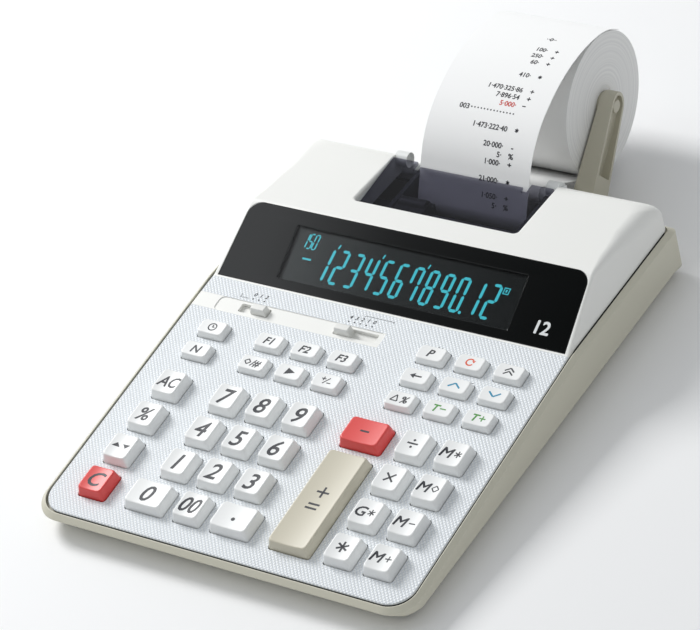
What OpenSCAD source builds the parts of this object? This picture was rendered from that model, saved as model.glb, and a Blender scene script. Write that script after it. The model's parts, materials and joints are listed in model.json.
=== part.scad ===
// Desktop printing calculator with a paper roll on arms behind it.
// Millimetres, +Z up, the keys face -Y. The origin is on the table, under the middle of the overall box.

/* [Case] */
// Width of the case
case_w = 195; // [188:1:210]
// Length of the deck, from the display to the rear of the case
deck_l = 60.9; // [56:0.1:75]
// Height of the key plate above the table at the front edge
front_h = 12; // [11.8:0.2:15]
// Slope of the key plate in degrees
tilt = 6; // [5.5:0.5:7]
// Radius of the front corners of the case
corner_r = 14; // [8:1:18]
// Radius of the rear corners of the case
rear_r = 3; // [1:0.5:5]
// Wall thickness of both halves of the case
wall = 2.2; // [1.9:0.1:2.5]
// Width of the rim that the lower half shows round the upper half
rim = 2.5; // [2:0.1:3]
// How far the rim falls towards its outer edge
rim_drop = 2; // [1:0.2:2.4]
// Clearance between the two halves at the joint line
seam_gap = 0.25; // [0.15:0.05:0.4]
// Depth of the upper half's skirt inside the rim
lap = 2; // [1.5:0.1:2.5]
// Height of the bevel under the sides
bevel_h = 5.2; // [4:0.2:6]
// Height of the bevel under the front edge
nose_h = 7.5; // [6:0.5:8]
// Height of the bevel under the rear edge
rear_bevel = 0.8; // [0.4:0.2:2]
// How far the rear wall leans out from the joint line down to its bevel
rear_lean = 2.4; // [0:0.2:3]
// How much each side of the raised part leans in
side_draft = 3.2; // [1:0.2:4]
// Radius of the long edges of the deck
deck_edge_r = 4; // [2:0.5:5]
// Radius of the rear edge of the deck
deck_rear_r = 7; // [4:0.5:8]
// Fall of the deck towards the rear in degrees
deck_fall = 2.3; // [1:0.1:3]

/* [Feet and screws] */
// Height of the rubber feet below the case
foot_h = 2; // [1.5:0.1:3]
// Radius of a rubber foot
foot_r = 6; // [4:0.5:8]
// How deep a foot sits in the case
foot_seat = 0.6; // [0.4:0.1:1]
// Radius of a case screw's shank
screw_r = 1.45; // [1.2:0.05:1.6]
// Radius of a case screw's head
screw_head_r = 2.8; // [2.4:0.1:3.2]
// Thickness of a case screw's head
screw_head_h = 1.2; // [1:0.1:1.4]
// Length of thread in the upper half
screw_grip = 5; // [4:0.5:5]

/* [Display] */
// Distance along the slope from the last key row to the display
panel_gap = 13.9; // [13:0.1:20]
// Slope of the display in degrees
panel_tilt = 28; // [26:1:30]
// Length of the display along its slope
panel_len = 39.8; // [38:0.2:42]
// Distance from the window to the case's side, at its front edge
window_side = 5.8; // [5:0.1:8]
// How much narrower the window's plate is along its upper edge
window_taper = 3.8; // [0:0.2:6]
// Radius of the window plate's upper corners
window_r = 7; // [3:0.5:10]
// Thickness of the window's plate
window_t = 1.4; // [1:0.1:1.6]
// Width of the clear area in front of the display glass
glass_w = 122; // [100:1:130]
// Height of the clear area along the slope
glass_l = 26.8; // [24:0.2:28]
// Distance of the clear area from the display's lower edge
glass_low = 5.2; // [4.5:0.1:6]

/* [Keys] */
// Width of a main key
key_w = 14; // [13:0.1:14.6]
// Length of a main key along the slope
key_l = 14.9; // [13:0.1:15.4]
// Height of a main key above the plate
key_h = 5.2; // [4:0.1:6]
// Width of the plus-equals and minus keys
wide_key_w = 20.5; // [18:0.5:22]
// Extra width of the zero and point keys
zero_extra = 6; // [0:0.5:6.5]
// Width of a small key
small_w = 14.2; // [12:0.1:14.6]
// Length of a small key along the slope
small_l = 9; // [8:0.1:9.6]
// Height of a small key above the plate
small_h = 3.5; // [2.6:0.1:4]
// Distance along the slope from the front of the case to the first key row
front_gap = 14.4; // [12:0.1:18]
// Distance from the main keys to the small keys
small_gap = 10.7; // [8:0.1:14]
// Distance between digit columns
col_pitch = 19.5; // [19.2:0.1:20]
// Distance between the three columns on the right
right_pitch = 19.7; // [19.2:0.1:20.2]
// Distance between main key rows
row_pitch = 20.15; // [19.8:0.05:20.3]
// Distance between small key rows
small_pitch = 14.2; // [13.8:0.1:14.4]
// Sideways draft of a main key from plate to top
key_draft = 1.2; // [0.6:0.1:1.6]
// Depth of the dish in a main key
key_dish = 0.6; // [0.3:0.1:0.8]
// Travel of a key
travel = 2.2; // [1.6:0.1:2.4]
// Clearance round a key in its hole
key_gap = 0.35; // [0.25:0.05:0.5]
// Width of the collar that stops a key under the plate
collar = 0.85; // [0.7:0.05:1]
// Thickness of the collar
collar_t = 1; // [0.8:0.1:1.2]
// Wall of a hollow key
key_wall = 1.2; // [1:0.1:1.5]

/* [Switches] */
// Width of a switch knob
knob_w = 8.2; // [7:0.1:9]
// Length of a switch knob along the slope
knob_l = 4.4; // [4:0.1:4.8]
// Height of a switch knob above the plate
knob_h = 3; // [2:0.1:4]
// Distance between two switch positions
switch_step = 3.1; // [2.8:0.1:3.3]
// Depth of the smooth band round the switches
band_t = 0.4; // [0.2:0.1:0.6]

/* [Printer] */
// Width of the printer recess in the deck
recess_w = 86.6; // [84:0.2:90]
// Distance of the recess's front edge from the rear of the case
recess_in = 46.3; // [44:0.1:50]
// Distance of the tear edge from the rear of the case
tear_in = 13.8; // [13.4:0.1:14.6]
// Thickness of the printer cover
cover_t = 1.5; // [1.2:0.1:2]
// Slope of the cover in degrees
cover_tilt = 5; // [4:0.5:6]
// Clearance round the cover
cover_gap = 0.4; // [0.3:0.1:0.6]
// Radius of the cover's hinge pins
hinge_r = 1.2; // [1:0.1:1.4]
// Running clearance of pins and shafts
run_gap = 0.05; // [0.03:0.01:0.08]
// Radius of the platen roller
platen_r = 7; // [6.5:0.1:7.2]
// Radius of the platen's shaft and the guide rods
shaft_r = 2; // [1.6:0.1:2.4]
// Thickness of the printer's side plates
plate_t = 2; // [1.6:0.1:2.4]
// Width of the print carriage
carriage_w = 16; // [14:0.5:18]

/* [Paper] */
// Width of the paper
paper_w = 58; // [57:0.5:59]
// How far the paper lies right of the middle
paper_x = 2; // [0:0.5:2.5]
// Radius of the paper roll
roll_r = 34.7; // [30:0.1:36]
// Distance of the roll's axis behind the case
roll_back = 58.3; // [57:0.1:60]
// Height of the roll's axis above the table
roll_z = 41; // [40:0.2:43]
// Outer radius of the roll's core
core_r = 8.6; // [8:0.1:10]
// Radius of the stub axles on the arms
axle_r = 6; // [5:0.1:6.5]
// Thickness of the paper strip
paper_t = 0.3; // [0.2:0.05:0.4]
// Gap between the strip and what it runs round
paper_gap = 0.3; // [0.25:0.05:0.4]
// Gap between the paper's side and an arm
arm_gap = 1.1; // [0.6:0.1:2]
// Thickness of an arm at its foot
arm_t = 10.4; // [9:0.2:11]
// How much an arm thins towards its tip
arm_taper = 3.5; // [2:0.1:4.5]
// Radius of an arm's tip
arm_tip_r = 7; // [6.6:0.1:8]
// Height of an arm's foot
arm_foot_h = 15.5; // [14:0.5:17]

/* [Hidden] */
$fn = 64;

// Case
half_w = case_w / 2;
window_w = 2 * (half_w - window_side);
inset = rim + wall;                      // lower half: rim and the wall under it
floor_z = foot_h + wall;
shell_half = half_w - rim - seam_gap;    // upper half: outside faces
shell_front = rim + seam_gap;
rim_land = 0.4;                          // flat top of the rim, inside its slope
big = 400;

function plate_z(y) = front_h + y * tan(tilt);

row_s = front_gap + key_l / 2;
small_s = row_s + 3 * row_pitch + key_l / 2 + small_gap + small_l / 2;
panel_y = (small_s + 2 * small_pitch + small_l / 2 + panel_gap) * cos(tilt);
panel_z = plate_z(panel_y);
panel_top_y = panel_y + panel_len * cos(panel_tilt);
panel_top_z = panel_z + panel_len * sin(panel_tilt);

case_d = panel_top_y + deck_l;
shell_rear = case_d - rim - seam_gap;
recess_y = case_d - recess_in;
tear_y = case_d - tear_in;

base_rear = case_d + rear_lean;
rear_foot = foot_h + rear_bevel;
// Rear face of the lower half at height z
function rear_y(z) = case_d + rear_lean * min(1, (panel_z - z) / (panel_z - rear_foot));

function deck_z(y) = panel_top_z - (y - panel_top_y) * tan(deck_fall);
function slope_s(y) = y / cos(tilt);     // distance along the key plate

glass_t = 1.8;                           // thickness of the display's glass

// Screws: [x, y] of each, all on the floor of the lower half
screw_in = half_w - 9.5;
screw_rear_y = case_d - 12;
SHELL_SCREWS = [for (x = [-screw_in, screw_in], y = [12, 92, screw_rear_y]) [x, y]];
boss_r = 3;
foot_in = 22;
FEET = [for (x = [-1, 1], y = [foot_in, case_d - foot_in]) [x * (half_w - foot_in), y]];
pillar_r = 2;
stake_r = 0.9;
PILLARS = [for (x = [-57.5, 15.5], s = [45, 92, 126]) [x, s]];

// Keys: centre of each column and row, on the key plate
left_x = -72.8;
digit_x = -41.7;
wide_x = 30.95;
right_x = 35.5;
function row(i) = row_s + i * row_pitch;
function small_row(i) = small_s + i * small_pitch;
function digit_col(i) = digit_x + i * col_pitch;
function right_col(i) = right_x + i * right_pitch;
function main_key(name, x, i) = [name, [x, row(i)], [key_w, key_l], key_h];
function small_key(name, x, i) = [name, [x, small_row(i)], [small_w, small_l], small_h];

DIGITS = [for (r = [0:2], c = [0:2]) main_key(str("key_", r * 3 + c + 1), digit_col(c), r + 1)];
KEYS = concat(DIGITS, [
    ["key_0", [digit_x - zero_extra / 2, row(0)], [key_w + zero_extra, key_l], key_h],
    main_key("key_00", digit_col(1), 0),
    ["key_point", [digit_col(2) + zero_extra / 2, row(0)], [key_w + zero_extra, key_l], key_h],
    ["key_plus_equals", [wide_x, row(1)], [wide_key_w, key_l + 2 * row_pitch], key_h],
    ["key_minus", [wide_x, row(3)], [wide_key_w, key_l], key_h],
    main_key("key_clear", left_x, 0),
    main_key("key_markup", left_x, 1),
    main_key("key_percent", left_x, 2),
    main_key("key_clear_all", left_x, 3),
    main_key("key_total", right_col(1), 0),
    main_key("key_grand_total", right_col(1), 1),
    main_key("key_multiply", right_col(1), 2),
    main_key("key_divide", right_col(1), 3),
    main_key("key_memory_plus", right_col(2), 0),
    main_key("key_memory_minus", right_col(2), 1),
    main_key("key_memory_subtotal", right_col(2), 2),
    main_key("key_memory_total", right_col(2), 3),
    small_key("key_item", left_x, 0),
    small_key("key_time", left_x, 1),
    small_key("key_non_add", digit_col(0), 0),
    small_key("key_backspace", digit_col(1), 0),
    small_key("key_sign", digit_col(2), 0),
    small_key("key_cost", digit_col(0), 1),
    small_key("key_sell", digit_col(1), 1),
    small_key("key_margin", digit_col(2), 1),
    small_key("key_delta_percent", right_col(0), 0),
    small_key("key_tax_minus", right_col(1), 0),
    small_key("key_tax_plus", right_col(2), 0),
    small_key("key_correct", right_col(0), 1),
    small_key("key_check_up", right_col(1), 1),
    small_key("key_check_down", right_col(2), 1),
    small_key("key_print", right_col(0), 2),
    small_key("key_reprint", right_col(1), 2),
    small_key("key_feed", right_col(2), 2)
]);

// Key board: a rubber mat on a circuit board, hung from the pillars of the upper half
pad_h = 0.5;
mat_t = 1;
board_t = 1.2;
mat_n = -wall - collar_t - travel - 0.15 - pad_h;   // top of the mat
board_n = mat_n - mat_t;                            // top of the board
board_half = screw_in - boss_r - 0.8;
board_s0 = slope_s(11.5);
board_s1 = slope_s(panel_y) - 9;

// Switches: [name, x at rest, steps to the other end, direction]
switch_s = small_row(2) + 3.3;
SWITCHES = [["power_switch", -58.6, 2, -1], ["decimal_switch", -13.3, 4, 1]];
slot_l = knob_l + 0.8;
slide_t = 0.8;
slide_gap = 0.1;
function slot_span(sw) = let(end = sw[1] + sw[2] * sw[3] * switch_step)
    [min(sw[1], end) - knob_w / 2 - 0.9, max(sw[1], end) + knob_w / 2 + 0.9];

// Printer
recess_half = recess_w / 2;
cover_half = recess_half - cover_gap;
cover_rear = tear_y + 2.8;                     // rear edge of the cover beside the tear edge
cover_rear_z = deck_z(cover_rear);             // top face there, level with the deck
hinge_y = recess_y + 3.8;
cover_front = recess_y + cover_gap + 0.2;
function cover_z(y) = cover_rear_z - (cover_rear - y) * tan(cover_tilt);
hinge_z = cover_z(hinge_y) - (hinge_r + 0.1) / cos(cover_tilt);
recess_low = cover_z(recess_y) - 7;            // lower edge of the recess's walls
tear_half = 27.4;
notch_w = 3;
catch_r = 3.6;
bead_r = 3.2;                                  // rounded lip that the paper enters over
bead_y = shell_rear - wall / 2;
bead_z = 33.6;

platen_y = tear_y + 0.2;
platen_z = 27.2;
frame_x0 = paper_x - paper_w / 2 - 4;          // inner faces of the side plates
frame_x1 = paper_x + paper_w / 2 + 4;
frame_y0 = platen_y - 26.9;
frame_y1 = platen_y + 6;
frame_z0 = 9;
frame_top = 36.5;
base_t = 2;
guide_y = platen_y - 20.4;
GUIDE_Z = [21, 32.5];
gear_r = 6.6;
gear_t = 3;
FRAME_POSTS = [for (x = [frame_x0 + 4, frame_x1 - 4], y = [frame_y0 + 4, frame_y1 - 4]) [x, y]];
SCREWS = concat(SHELL_SCREWS, FRAME_POSTS);
motor_r = 10;
motor_l = 26;
motor_y = guide_y + 5;
motor_z = 20;
park_x = frame_x0 + 1.5;                       // left end of the parked carriage
head_face = platen_y - platen_r - paper_gap - paper_t - 0.9;

// Paper path, in the Y-Z plane
roll_y = case_d + roll_back;
overall_d = roll_y + roll_r;
lead_angle = 61.5;                               // slope of the strip at the tear edge
free_slope = 28;                               // slope between the two bends of the free end
free_r1 = 48;
free_r2 = 84;
lie_angle = 12;                                // where the free end meets the roll
tail_angle = 42;                               // where the free end stops
wrap_extra = 14;                               // how far the strip follows the underside of the roll

function polar(c, r, a) = [c[0] + r * cos(a), c[1] + r * sin(a)];
function arc(c, r, a0, a1, n) = [for (i = [0:n]) polar(c, r, a0 + (a1 - a0) * i / n)];
function unit(v) = v / norm(v);
function angle_of(v) = atan2(v[1], v[0]);

strip_mid = paper_gap + paper_t / 2;           // from a guide's face to the middle of the paper
roll_c = [roll_y, roll_z];
platen_c = [platen_y, platen_z];
bead_c = [bead_y, bead_z];
roll_path_r = roll_r + strip_mid;
platen_path_r = platen_r + strip_mid;
bead_path_r = bead_r + strip_mid;

// Crossed tangents: from the roll's underside over the lip, and from the lip down behind the platen
lip_to_roll = roll_c - bead_c;
web_angle = angle_of(lip_to_roll) - asin((roll_path_r + bead_path_r) / norm(lip_to_roll));
lip_to_platen = platen_c - bead_c;
drop_angle = angle_of(lip_to_platen) + asin((platen_path_r + bead_path_r) / norm(lip_to_platen)) + 360;

lead_end = lead_angle + 90;                    // angle on the platen where the paper leaves it
lead_start = polar(platen_c, platen_path_r, lead_end);
lie_point = polar(roll_c, roll_path_r, 90 - lie_angle);
free_c2 = polar(lie_point, free_r2, 270 - lie_angle);
bend_point = polar(free_c2, free_r2, 90 + free_slope);
free_c1 = polar(bend_point, free_r1, free_slope - 90);
lead_stop = polar(free_c1, free_r1, 90 + lead_angle);

PATH = concat(
    arc(roll_c, roll_path_r, web_angle - 90 + wrap_extra, web_angle - 90, 3),
    arc(bead_c, bead_path_r, web_angle + 90, drop_angle - 90, 8),
    arc(platen_c, platen_path_r, drop_angle - 270, lead_end - 360, 22),
    arc(free_c1, free_r1, 90 + lead_angle, 90 + free_slope, 6),
    arc(free_c2, free_r2, 90 + free_slope - 3, 90 - lie_angle, 8),
    arc(roll_c, roll_path_r, 90 - lie_angle - 5, 90 - tail_angle, 5)
);

// Sideways normal at point i of an open path
function path_normal(p, i) = let(
    a = p[max(i - 1, 0)], b = p[min(i + 1, len(p) - 1)], d = unit(b - a)) [-d[1], d[0]];
function band(p, t) = concat(
    [for (i = [0:len(p) - 1]) p[i] + path_normal(p, i) * t / 2],
    [for (i = [len(p) - 1:-1:0]) p[i] - path_normal(p, i) * t / 2]);

// A counter-clockwise outline moved inwards by d, with sharp corners
function shrink(p, d) = let(n = len(p)) [for (i = [0:n - 1]) let(
    u = unit(p[i] - p[(i + n - 1) % n]), v = unit(p[(i + 1) % n] - p[i]),
    nu = [-u[1], u[0]], nv = [-v[1], v[0]]) p[i] + d * (nu + nv) / (1 + nu * nv)];

// Frames of reference: the table frame starts at the front of the case
module on_table() translate([0, -overall_d / 2, 0]) children();
module plate_frame() translate([0, 0, front_h]) rotate([tilt, 0, 0]) children();
module on_plate() on_table() plate_frame() children();
module on_panel() on_table() translate([0, panel_y, panel_z]) rotate([panel_tilt, 0, 0]) children();

// Threaded bores that start at the floor
module screw_bores(points) for (p = points) translate([p[0], p[1], floor_z - 1])
    cylinder(h = screw_grip + 1.5, r = screw_r + run_gap);

// Post under a board whose melted pin holds the board: head on the far side, h is the board's thickness
module stake(h) {
    cylinder(h = h + 0.2, r = stake_r);
    translate([0, 0, h]) cylinder(h = 0.6, r = 2 * stake_r);
}

// A Y-Z outline made a bar along X, from x0 to x1
module bar_x(x0, x1) translate([x0, 0, 0]) rotate([90, 0, 90]) linear_extrude(x1 - x0) children();
// An X-Z outline made a bar along Y, from y0 to y1
module bar_y(y0, y1) translate([0, y1, 0]) rotate([90, 0, 0]) linear_extrude(y1 - y0) children();
module rod_x(x0, x1, r, y, z) translate([x0, y, z]) rotate([0, 90, 0]) cylinder(h = x1 - x0, r = r);
module block(x, y, z) translate([x[0], y[0], z[0]]) cube([x[1] - x[0], y[1] - y[0], z[1] - z[0]]);

// Rounded rectangle from corner a to corner b
module round_rect(a, b, r) {
    translate([a[0] + r, a[1]]) square([b[0] - a[0] - 2 * r, b[1] - a[1]]);
    translate([a[0], a[1] + r]) square([b[0] - a[0], b[1] - a[1] - 2 * r]);
    for (x = [a[0] + r, b[0] - r], y = [a[1] + r, b[1] - r]) translate([x, y]) circle(r);
}

// Plan of the case, moved in by d on the sides and the front, with its rear edge at y1
module case_plan(d, y1) linear_extrude(big) {
    w = half_w - d;
    front = max(corner_r - d, 0.5);
    rear = max(rear_r - d, 0.5);
    translate([-w, d + front]) square([2 * w, y1 - d - front - rear]);
    translate([front - w, d]) square([2 * (w - front), y1 - d - rear]);
    translate([rear - w, d + front]) square([2 * (w - rear), y1 - d - front]);
    for (m = [-1, 1]) {
        translate([m * (w - front), d + front]) circle(front);
        translate([m * (w - rear), y1 - rear]) circle(rear);
    }
}

// Space above the joint line between the halves, lowered by drop
module above_seam(drop) bar_x(-half_w - 1, half_w + 1) polygon([
    [-1, plate_z(-1) - drop], [panel_y, panel_z - drop], [case_d + 1, panel_z - drop],
    [case_d + 1, big], [-1, big]]);

// The two ends of a bevel under the case, for an outline moved in by d with a floor t thick
function bevel_points(edge, b, d, t) = d == 0
    ? [[edge, foot_h + b], [edge - b, foot_h]]
    : [[edge - d, foot_h + b - (d - t * sqrt(2))], [edge - t * sqrt(2) - (b - t), foot_h + t]];

module tub(d, t) intersection() {
    case_plan(d, base_rear - d);
    bar_y(-1, case_d + 1) let(b = bevel_points(half_w, bevel_h, d, t))
        polygon([[-b[1][0], b[1][1]], b[1], b[0], [b[0][0], big], [-b[0][0], big], [-b[0][0], b[0][1]]]);
    bar_x(-half_w - 1, half_w + 1) let(
        rear = d == 0 ? [[base_rear - rear_bevel, foot_h], [base_rear, rear_foot]]
            : [[rear_y(foot_h + t) - d, foot_h + t]],
        nose = bevel_points(0, nose_h, d, t))
        polygon(concat([[-nose[1][0], nose[1][1]]], rear, [[case_d - d, panel_z], [case_d - d, big],
            [-nose[0][0], big], [-nose[0][0], nose[0][1]]]));
}

// Section of the slope that is cut off the rim: distance outwards, height above the joint line
rim_slope = [rim - rim_land, -rim_drop];
function rim_cut(edge) = let(top = [edge, -rim_drop] - 2 * rim_slope, low = [edge, -rim_drop] + rim_slope)
    [top, low, [low[0] + 1, low[1]], [low[0] + 1, top[1]]];

// Slope of the rim all round the joint line, in facets round the front corners
module rim_cuts() {
    side = half_w - corner_r;
    plate_frame() for (m = [0, 1]) mirror([m, 0, 0]) translate([side, corner_r, 0]) {
        bar_y(-corner_r, slope_s(panel_y) - corner_r) polygon(rim_cut(corner_r));
        for (a = [15:15:75]) rotate([0, 0, -a]) bar_y(-3, 3) polygon(rim_cut(corner_r));
        rotate([0, 0, -90]) bar_y(-side - 1, corner_r) polygon(rim_cut(corner_r));
    }
    translate([0, 0, panel_z]) {
        for (m = [0, 1]) mirror([m, 0, 0]) bar_y(panel_y, base_rear + 1) polygon(rim_cut(half_w));
        bar_x(-half_w - 1, half_w + 1) polygon(rim_cut(case_d));
    }
}

module bottom_case() color([0.74, 0.72, 0.65]) on_table() difference() {
    union() {
        difference() {
            tub(0, 0);
            above_seam(0);
            rim_cuts();
            intersection() {
                tub(rim, 0.1);
                above_seam(lap);
            }
            tub(inset, wall);
        }
        for (p = POWER_POSTS) translate([p[0], p[1], floor_z - 0.5]) {
            cylinder(h = power_z - floor_z + 0.5, r = 2.5);
            translate([0, 0, power_z - floor_z + 0.5]) stake(power_t);
        }
    }
    for (p = SCREWS) translate([p[0], p[1], foot_h - 1]) {
        cylinder(h = wall + 2, r = screw_r + 0.25);
        cylinder(h = 1 + screw_head_h + 0.1, r = screw_head_r + 0.3);
    }
    for (p = FEET) translate([p[0], p[1], foot_h - 1]) cylinder(h = 1 + foot_seat, r = foot_r + 0.1);
    for (m = [0, 1]) mirror([m, 0, 0])
        block(tongue_x - [0.2, -0.2], [case_d - inset - 1, base_rear + 1], tongue_z - [0.2, -0.2]);
    translate([jack_x, base_rear + 1, jack_z]) rotate([90, 0, 0])
        cylinder(h = base_rear - jack_front + 2, r = jack_hole_r);
}

// Arms: foot, and tongue through the rear wall
arm_x = paper_x + paper_w / 2 + arm_gap;
arm_mid = arm_x + arm_t / 2;
tongue_x = [arm_mid - 3, arm_mid + 3];
tongue_z = [8.3, 13.7];
arm_low = 1.4;

// Power socket and its board, on the floor behind the printer
jack_x = 27.5 - half_w;
jack_z = 14;
jack_r = 2.8;
jack_l = 9;
jack_hole_r = 4.6;
jack_top = 5;                            // top of the socket above its axis
power_z = 6.9;
power_t = 1.6;
jack_front = rear_y(jack_z + jack_top) - inset;
POWER_POSTS = [for (x = [jack_x - 11.5, jack_x + 18], y = [jack_front - 27, jack_front - 5]) [x, y]];

// Upper outline of the upper half, from the rear to the front, closed far below
rear_arc_c = let(r = deck_rear_r) [shell_rear - r, deck_z(shell_rear - r) - r / cos(deck_fall)];
SHELL_SIDE = concat(
    [[shell_rear, -50]],
    arc(rear_arc_c, deck_rear_r, 0, 90 - deck_fall, 8),
    [[panel_top_y, panel_top_z], [panel_y, panel_z]],
    [[shell_front, plate_z(shell_front)], [shell_front, -50]]);

// Cross-section of the upper half across the deck, in a frame that falls with the deck
deck_half = shell_half - side_draft;
edge_c = [deck_half - deck_edge_r, -deck_edge_r];
SHELL_CROSS = let(
    h = panel_top_z - panel_z,
    right = concat([[shell_half, -big], [shell_half, -h]], arc(edge_c, deck_edge_r, 10, 90, 7)))
    concat(right, [for (i = [len(right) - 1:-1:0]) [-right[i][0], right[i][1]]]);

module deck_frame() translate([0, panel_top_y, panel_top_z]) rotate([-deck_fall, 0, 0]) children();

module shell_solid(d) intersection() {
    case_plan(rim + seam_gap + d, shell_rear - d);
    bar_x(-half_w, half_w) polygon(shrink(SHELL_SIDE, d));
    deck_frame() bar_y(-big, big) polygon(shrink(SHELL_CROSS, d));
}

// Outline of the window's plate on the display's slope, grown by g
function window_outline(g) = let(
    lo = 0.5 - g, hi = panel_len - 0.5 + g, w0 = window_w / 2 + g, w1 = (window_w - window_taper) / 2 + g,
    r = window_r) concat([[-w0, lo], [w0, lo]],
    arc([w1 - r, hi - r], r, 0, 90, 6), arc([r - w1, hi - r], r, 90, 180, 6));

module key_holes() for (k = KEYS) translate([k[1][0], k[1][1], 0])
    cube([k[2][0] + 2 * key_gap, k[2][1] + 2 * key_gap, 3 * wall], center = true);

module switch_slots() for (s = SWITCHES) let(x = slot_span(s))
    translate([x[0], switch_s - slot_l / 2, -2 * wall]) cube([x[1] - x[0], slot_l, 3 * wall]);

module recess_box(grow, low) block(
    [-recess_half - grow, recess_half + grow], [recess_y - grow, case_d + 5], [low, big]);

module top_case() color([0.93, 0.94, 0.93]) {
    on_table() difference() {
        union() {
            difference() {
                shell_solid(0);
                shell_solid(wall);
            }
            intersection() {
                shell_solid(0.01);
                recess_box(wall, recess_low);
                block([-big, big], [0, shell_rear - 0.5], [0, big]);
            }
            for (p = SHELL_SCREWS) intersection() {
                shell_solid(wall / 2);
                translate([p[0], p[1], floor_z]) cylinder(h = big, r = boss_r);
            }
        }
        // nothing of the shell below the skirt, except the screw bosses
        difference() {
            cube([2 * big, 2 * big, 2 * big], center = true);
            above_seam(lap);
            for (p = SHELL_SCREWS) translate([p[0], p[1], floor_z]) cylinder(h = big, r = boss_r);
        }
        recess_box(0, recess_low - 1);
        block([-recess_half, recess_half], [shell_rear - wall - 1, case_d], [bead_z, big]);
        screw_bores(SHELL_SCREWS);
        rod_x(-recess_half - wall - 1, recess_half + wall + 1, hinge_r + run_gap, hinge_y, hinge_z);
        plate_cuts();
        panel_cuts();
    }
    on_table() {
        rod_x(-recess_half - 0.5, recess_half + 0.5, bead_r, bead_y, bead_z);
        for (m = [0, 1]) mirror([m, 0, 0]) cover_catch();
    }
    on_plate() for (p = PILLARS) translate([p[0], p[1], board_n]) {
        cylinder(h = -board_n - wall / 2, r = pillar_r);
        mirror([0, 0, 1]) stake(board_t);
    }
}

module plate_cuts() plate_frame() {
    key_holes();
    switch_slots();
    translate([0, 0, -band_t]) linear_extrude(wall) round_rect([-82, switch_s - 4.7], [7, switch_s + 3.9], 3);
}

module panel_cuts() translate([0, panel_y, panel_z]) rotate([panel_tilt, 0, 0]) {
    translate([0, 0, -window_t]) linear_extrude(wall + window_t) polygon(window_outline(0.15));
    translate([-glass_w / 2 - 1, glass_low - 1, -2 * wall]) cube([glass_w + 2, glass_l + 2, 3 * wall]);
}

// Rounded catch behind each rear corner of the cover
module cover_catch() intersection() {
    rod_x(recess_half - 6, recess_half + 0.5, catch_r,
        shell_rear - catch_r, deck_z(shell_rear) - catch_r + 0.8);
    block([0, big], [cover_rear + 0.6, shell_rear], [0, big]);
}

module display_window() color([0.05, 0.06, 0.07]) on_panel()
    translate([0, 0, -window_t]) linear_extrude(window_t) polygon(window_outline(0));

// Slab behind the clear area, larger by x at each side and by y at each edge
module glass(x, y, z) block([-glass_w / 2 - x, glass_w / 2 + x], [glass_low - y, glass_low + glass_l + y], z);

module display_module() color([0.2, 0.22, 0.23]) on_panel() {
    glass(3, 2.2, [-wall - glass_t, -wall]);
    glass(5, 3.2, [-wall - glass_t - 2.8, -wall - glass_t]);
}

// Frustum of a key, cut from two crossing tapered bars
module key_body(w, l, h, draft, low) intersection() {
    bar_y(-l, l) polygon(key_section(w / 2, h, draft, low));
    bar_x(-w, w) polygon(key_section(l / 2, h, draft, low));
}

function key_section(half, h, draft, low) =
    [[-half, low], [half, low], [half, 0], [half - draft, h], [draft - half, h], [-half, 0]];

module key(k) {
    w = k[2][0];
    l = k[2][1];
    h = k[3];
    draft = key_draft * h / key_h;
    dish = key_dish * (h == key_h ? 1 : 0.5);
    top_w = w - 2 * draft;
    dish_r = (top_w * top_w / 4 + dish * dish) / (2 * dish);
    red = k[0] == "key_clear" || k[0] == "key_minus";
    tint = k[0] == "key_plus_equals" ? [0.78, 0.76, 0.7] : red ? [0.87, 0.36, 0.34] : [0.95, 0.95, 0.94];
    color(tint) on_plate() translate([k[1][0], k[1][1], 0]) difference() {
        union() {
            key_body(w, l, h, draft, -wall - collar_t);
            translate([-w / 2 - collar, -l / 2 - collar, -wall - collar_t])
                cube([w + 2 * collar, l + 2 * collar, collar_t]);
        }
        translate([0, -l, h + dish_r - dish]) rotate([-90, 0, 0]) cylinder(h = 2 * l, r = dish_r, $fn = 96);
        difference() {
            key_body(w - 2 * key_wall, l - 2 * key_wall, h - key_wall - dish, draft, -wall - collar_t - 1);
            cube([3, 3, 4 * h], center = true);
        }
    }
}

module switch_knob(s) color([0.93, 0.93, 0.92]) on_plate() translate([s[1], switch_s, 0]) {
    reach = s[2] * switch_step;
    key_body(knob_w, knob_l, knob_h, 0.5, -wall - slide_gap - slide_t / 2);
    translate([-knob_w / 2 - reach - 1.4, -slot_l / 2 - 1, -wall - slide_gap - slide_t])
        cube([knob_w + 2 * (reach + 1.4), slot_l + 2, slide_t]);
}

// The cover in plan, from its rear edge: the tear edge stands back between two notches
tear = tear_y - cover_rear;
tear_mid = paper_x / 2;
function cover_outline() = let(
    front = (cover_front - cover_rear) / cos(cover_tilt), notch = tear - 2.5, n = tear_half + notch_w)
    [[-cover_half, front], [cover_half, front], [cover_half, 0], [tear_mid + n, 0], [tear_mid + n, notch],
    [tear_mid + tear_half, notch], [tear_mid + tear_half, tear], [tear_mid - tear_half, tear],
    [tear_mid - tear_half, notch], [tear_mid - n, notch], [tear_mid - n, 0], [-cover_half, 0]];

module printer_cover() color([0.4, 0.38, 0.46]) on_table() {
    translate([0, cover_rear, cover_rear_z]) rotate([cover_tilt, 0, 0]) difference() {
        translate([0, 0, -cover_t]) linear_extrude(cover_t) polygon(cover_outline());
        // the tear edge is bevelled from below
        bar_x(tear_mid - tear_half, tear_mid + tear_half) polygon([[tear - 1.8, -cover_t - 0.1],
            [tear + 1, -cover_t - 0.1], [tear + 1, -0.4], [tear, -0.4]]);
    }
    // hinge pins at the front corners
    for (m = [0, 1]) mirror([m, 0, 0])
        rod_x(cover_half - 5, recess_half + wall - 0.2, hinge_r, hinge_y, hinge_z);
}

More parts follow.
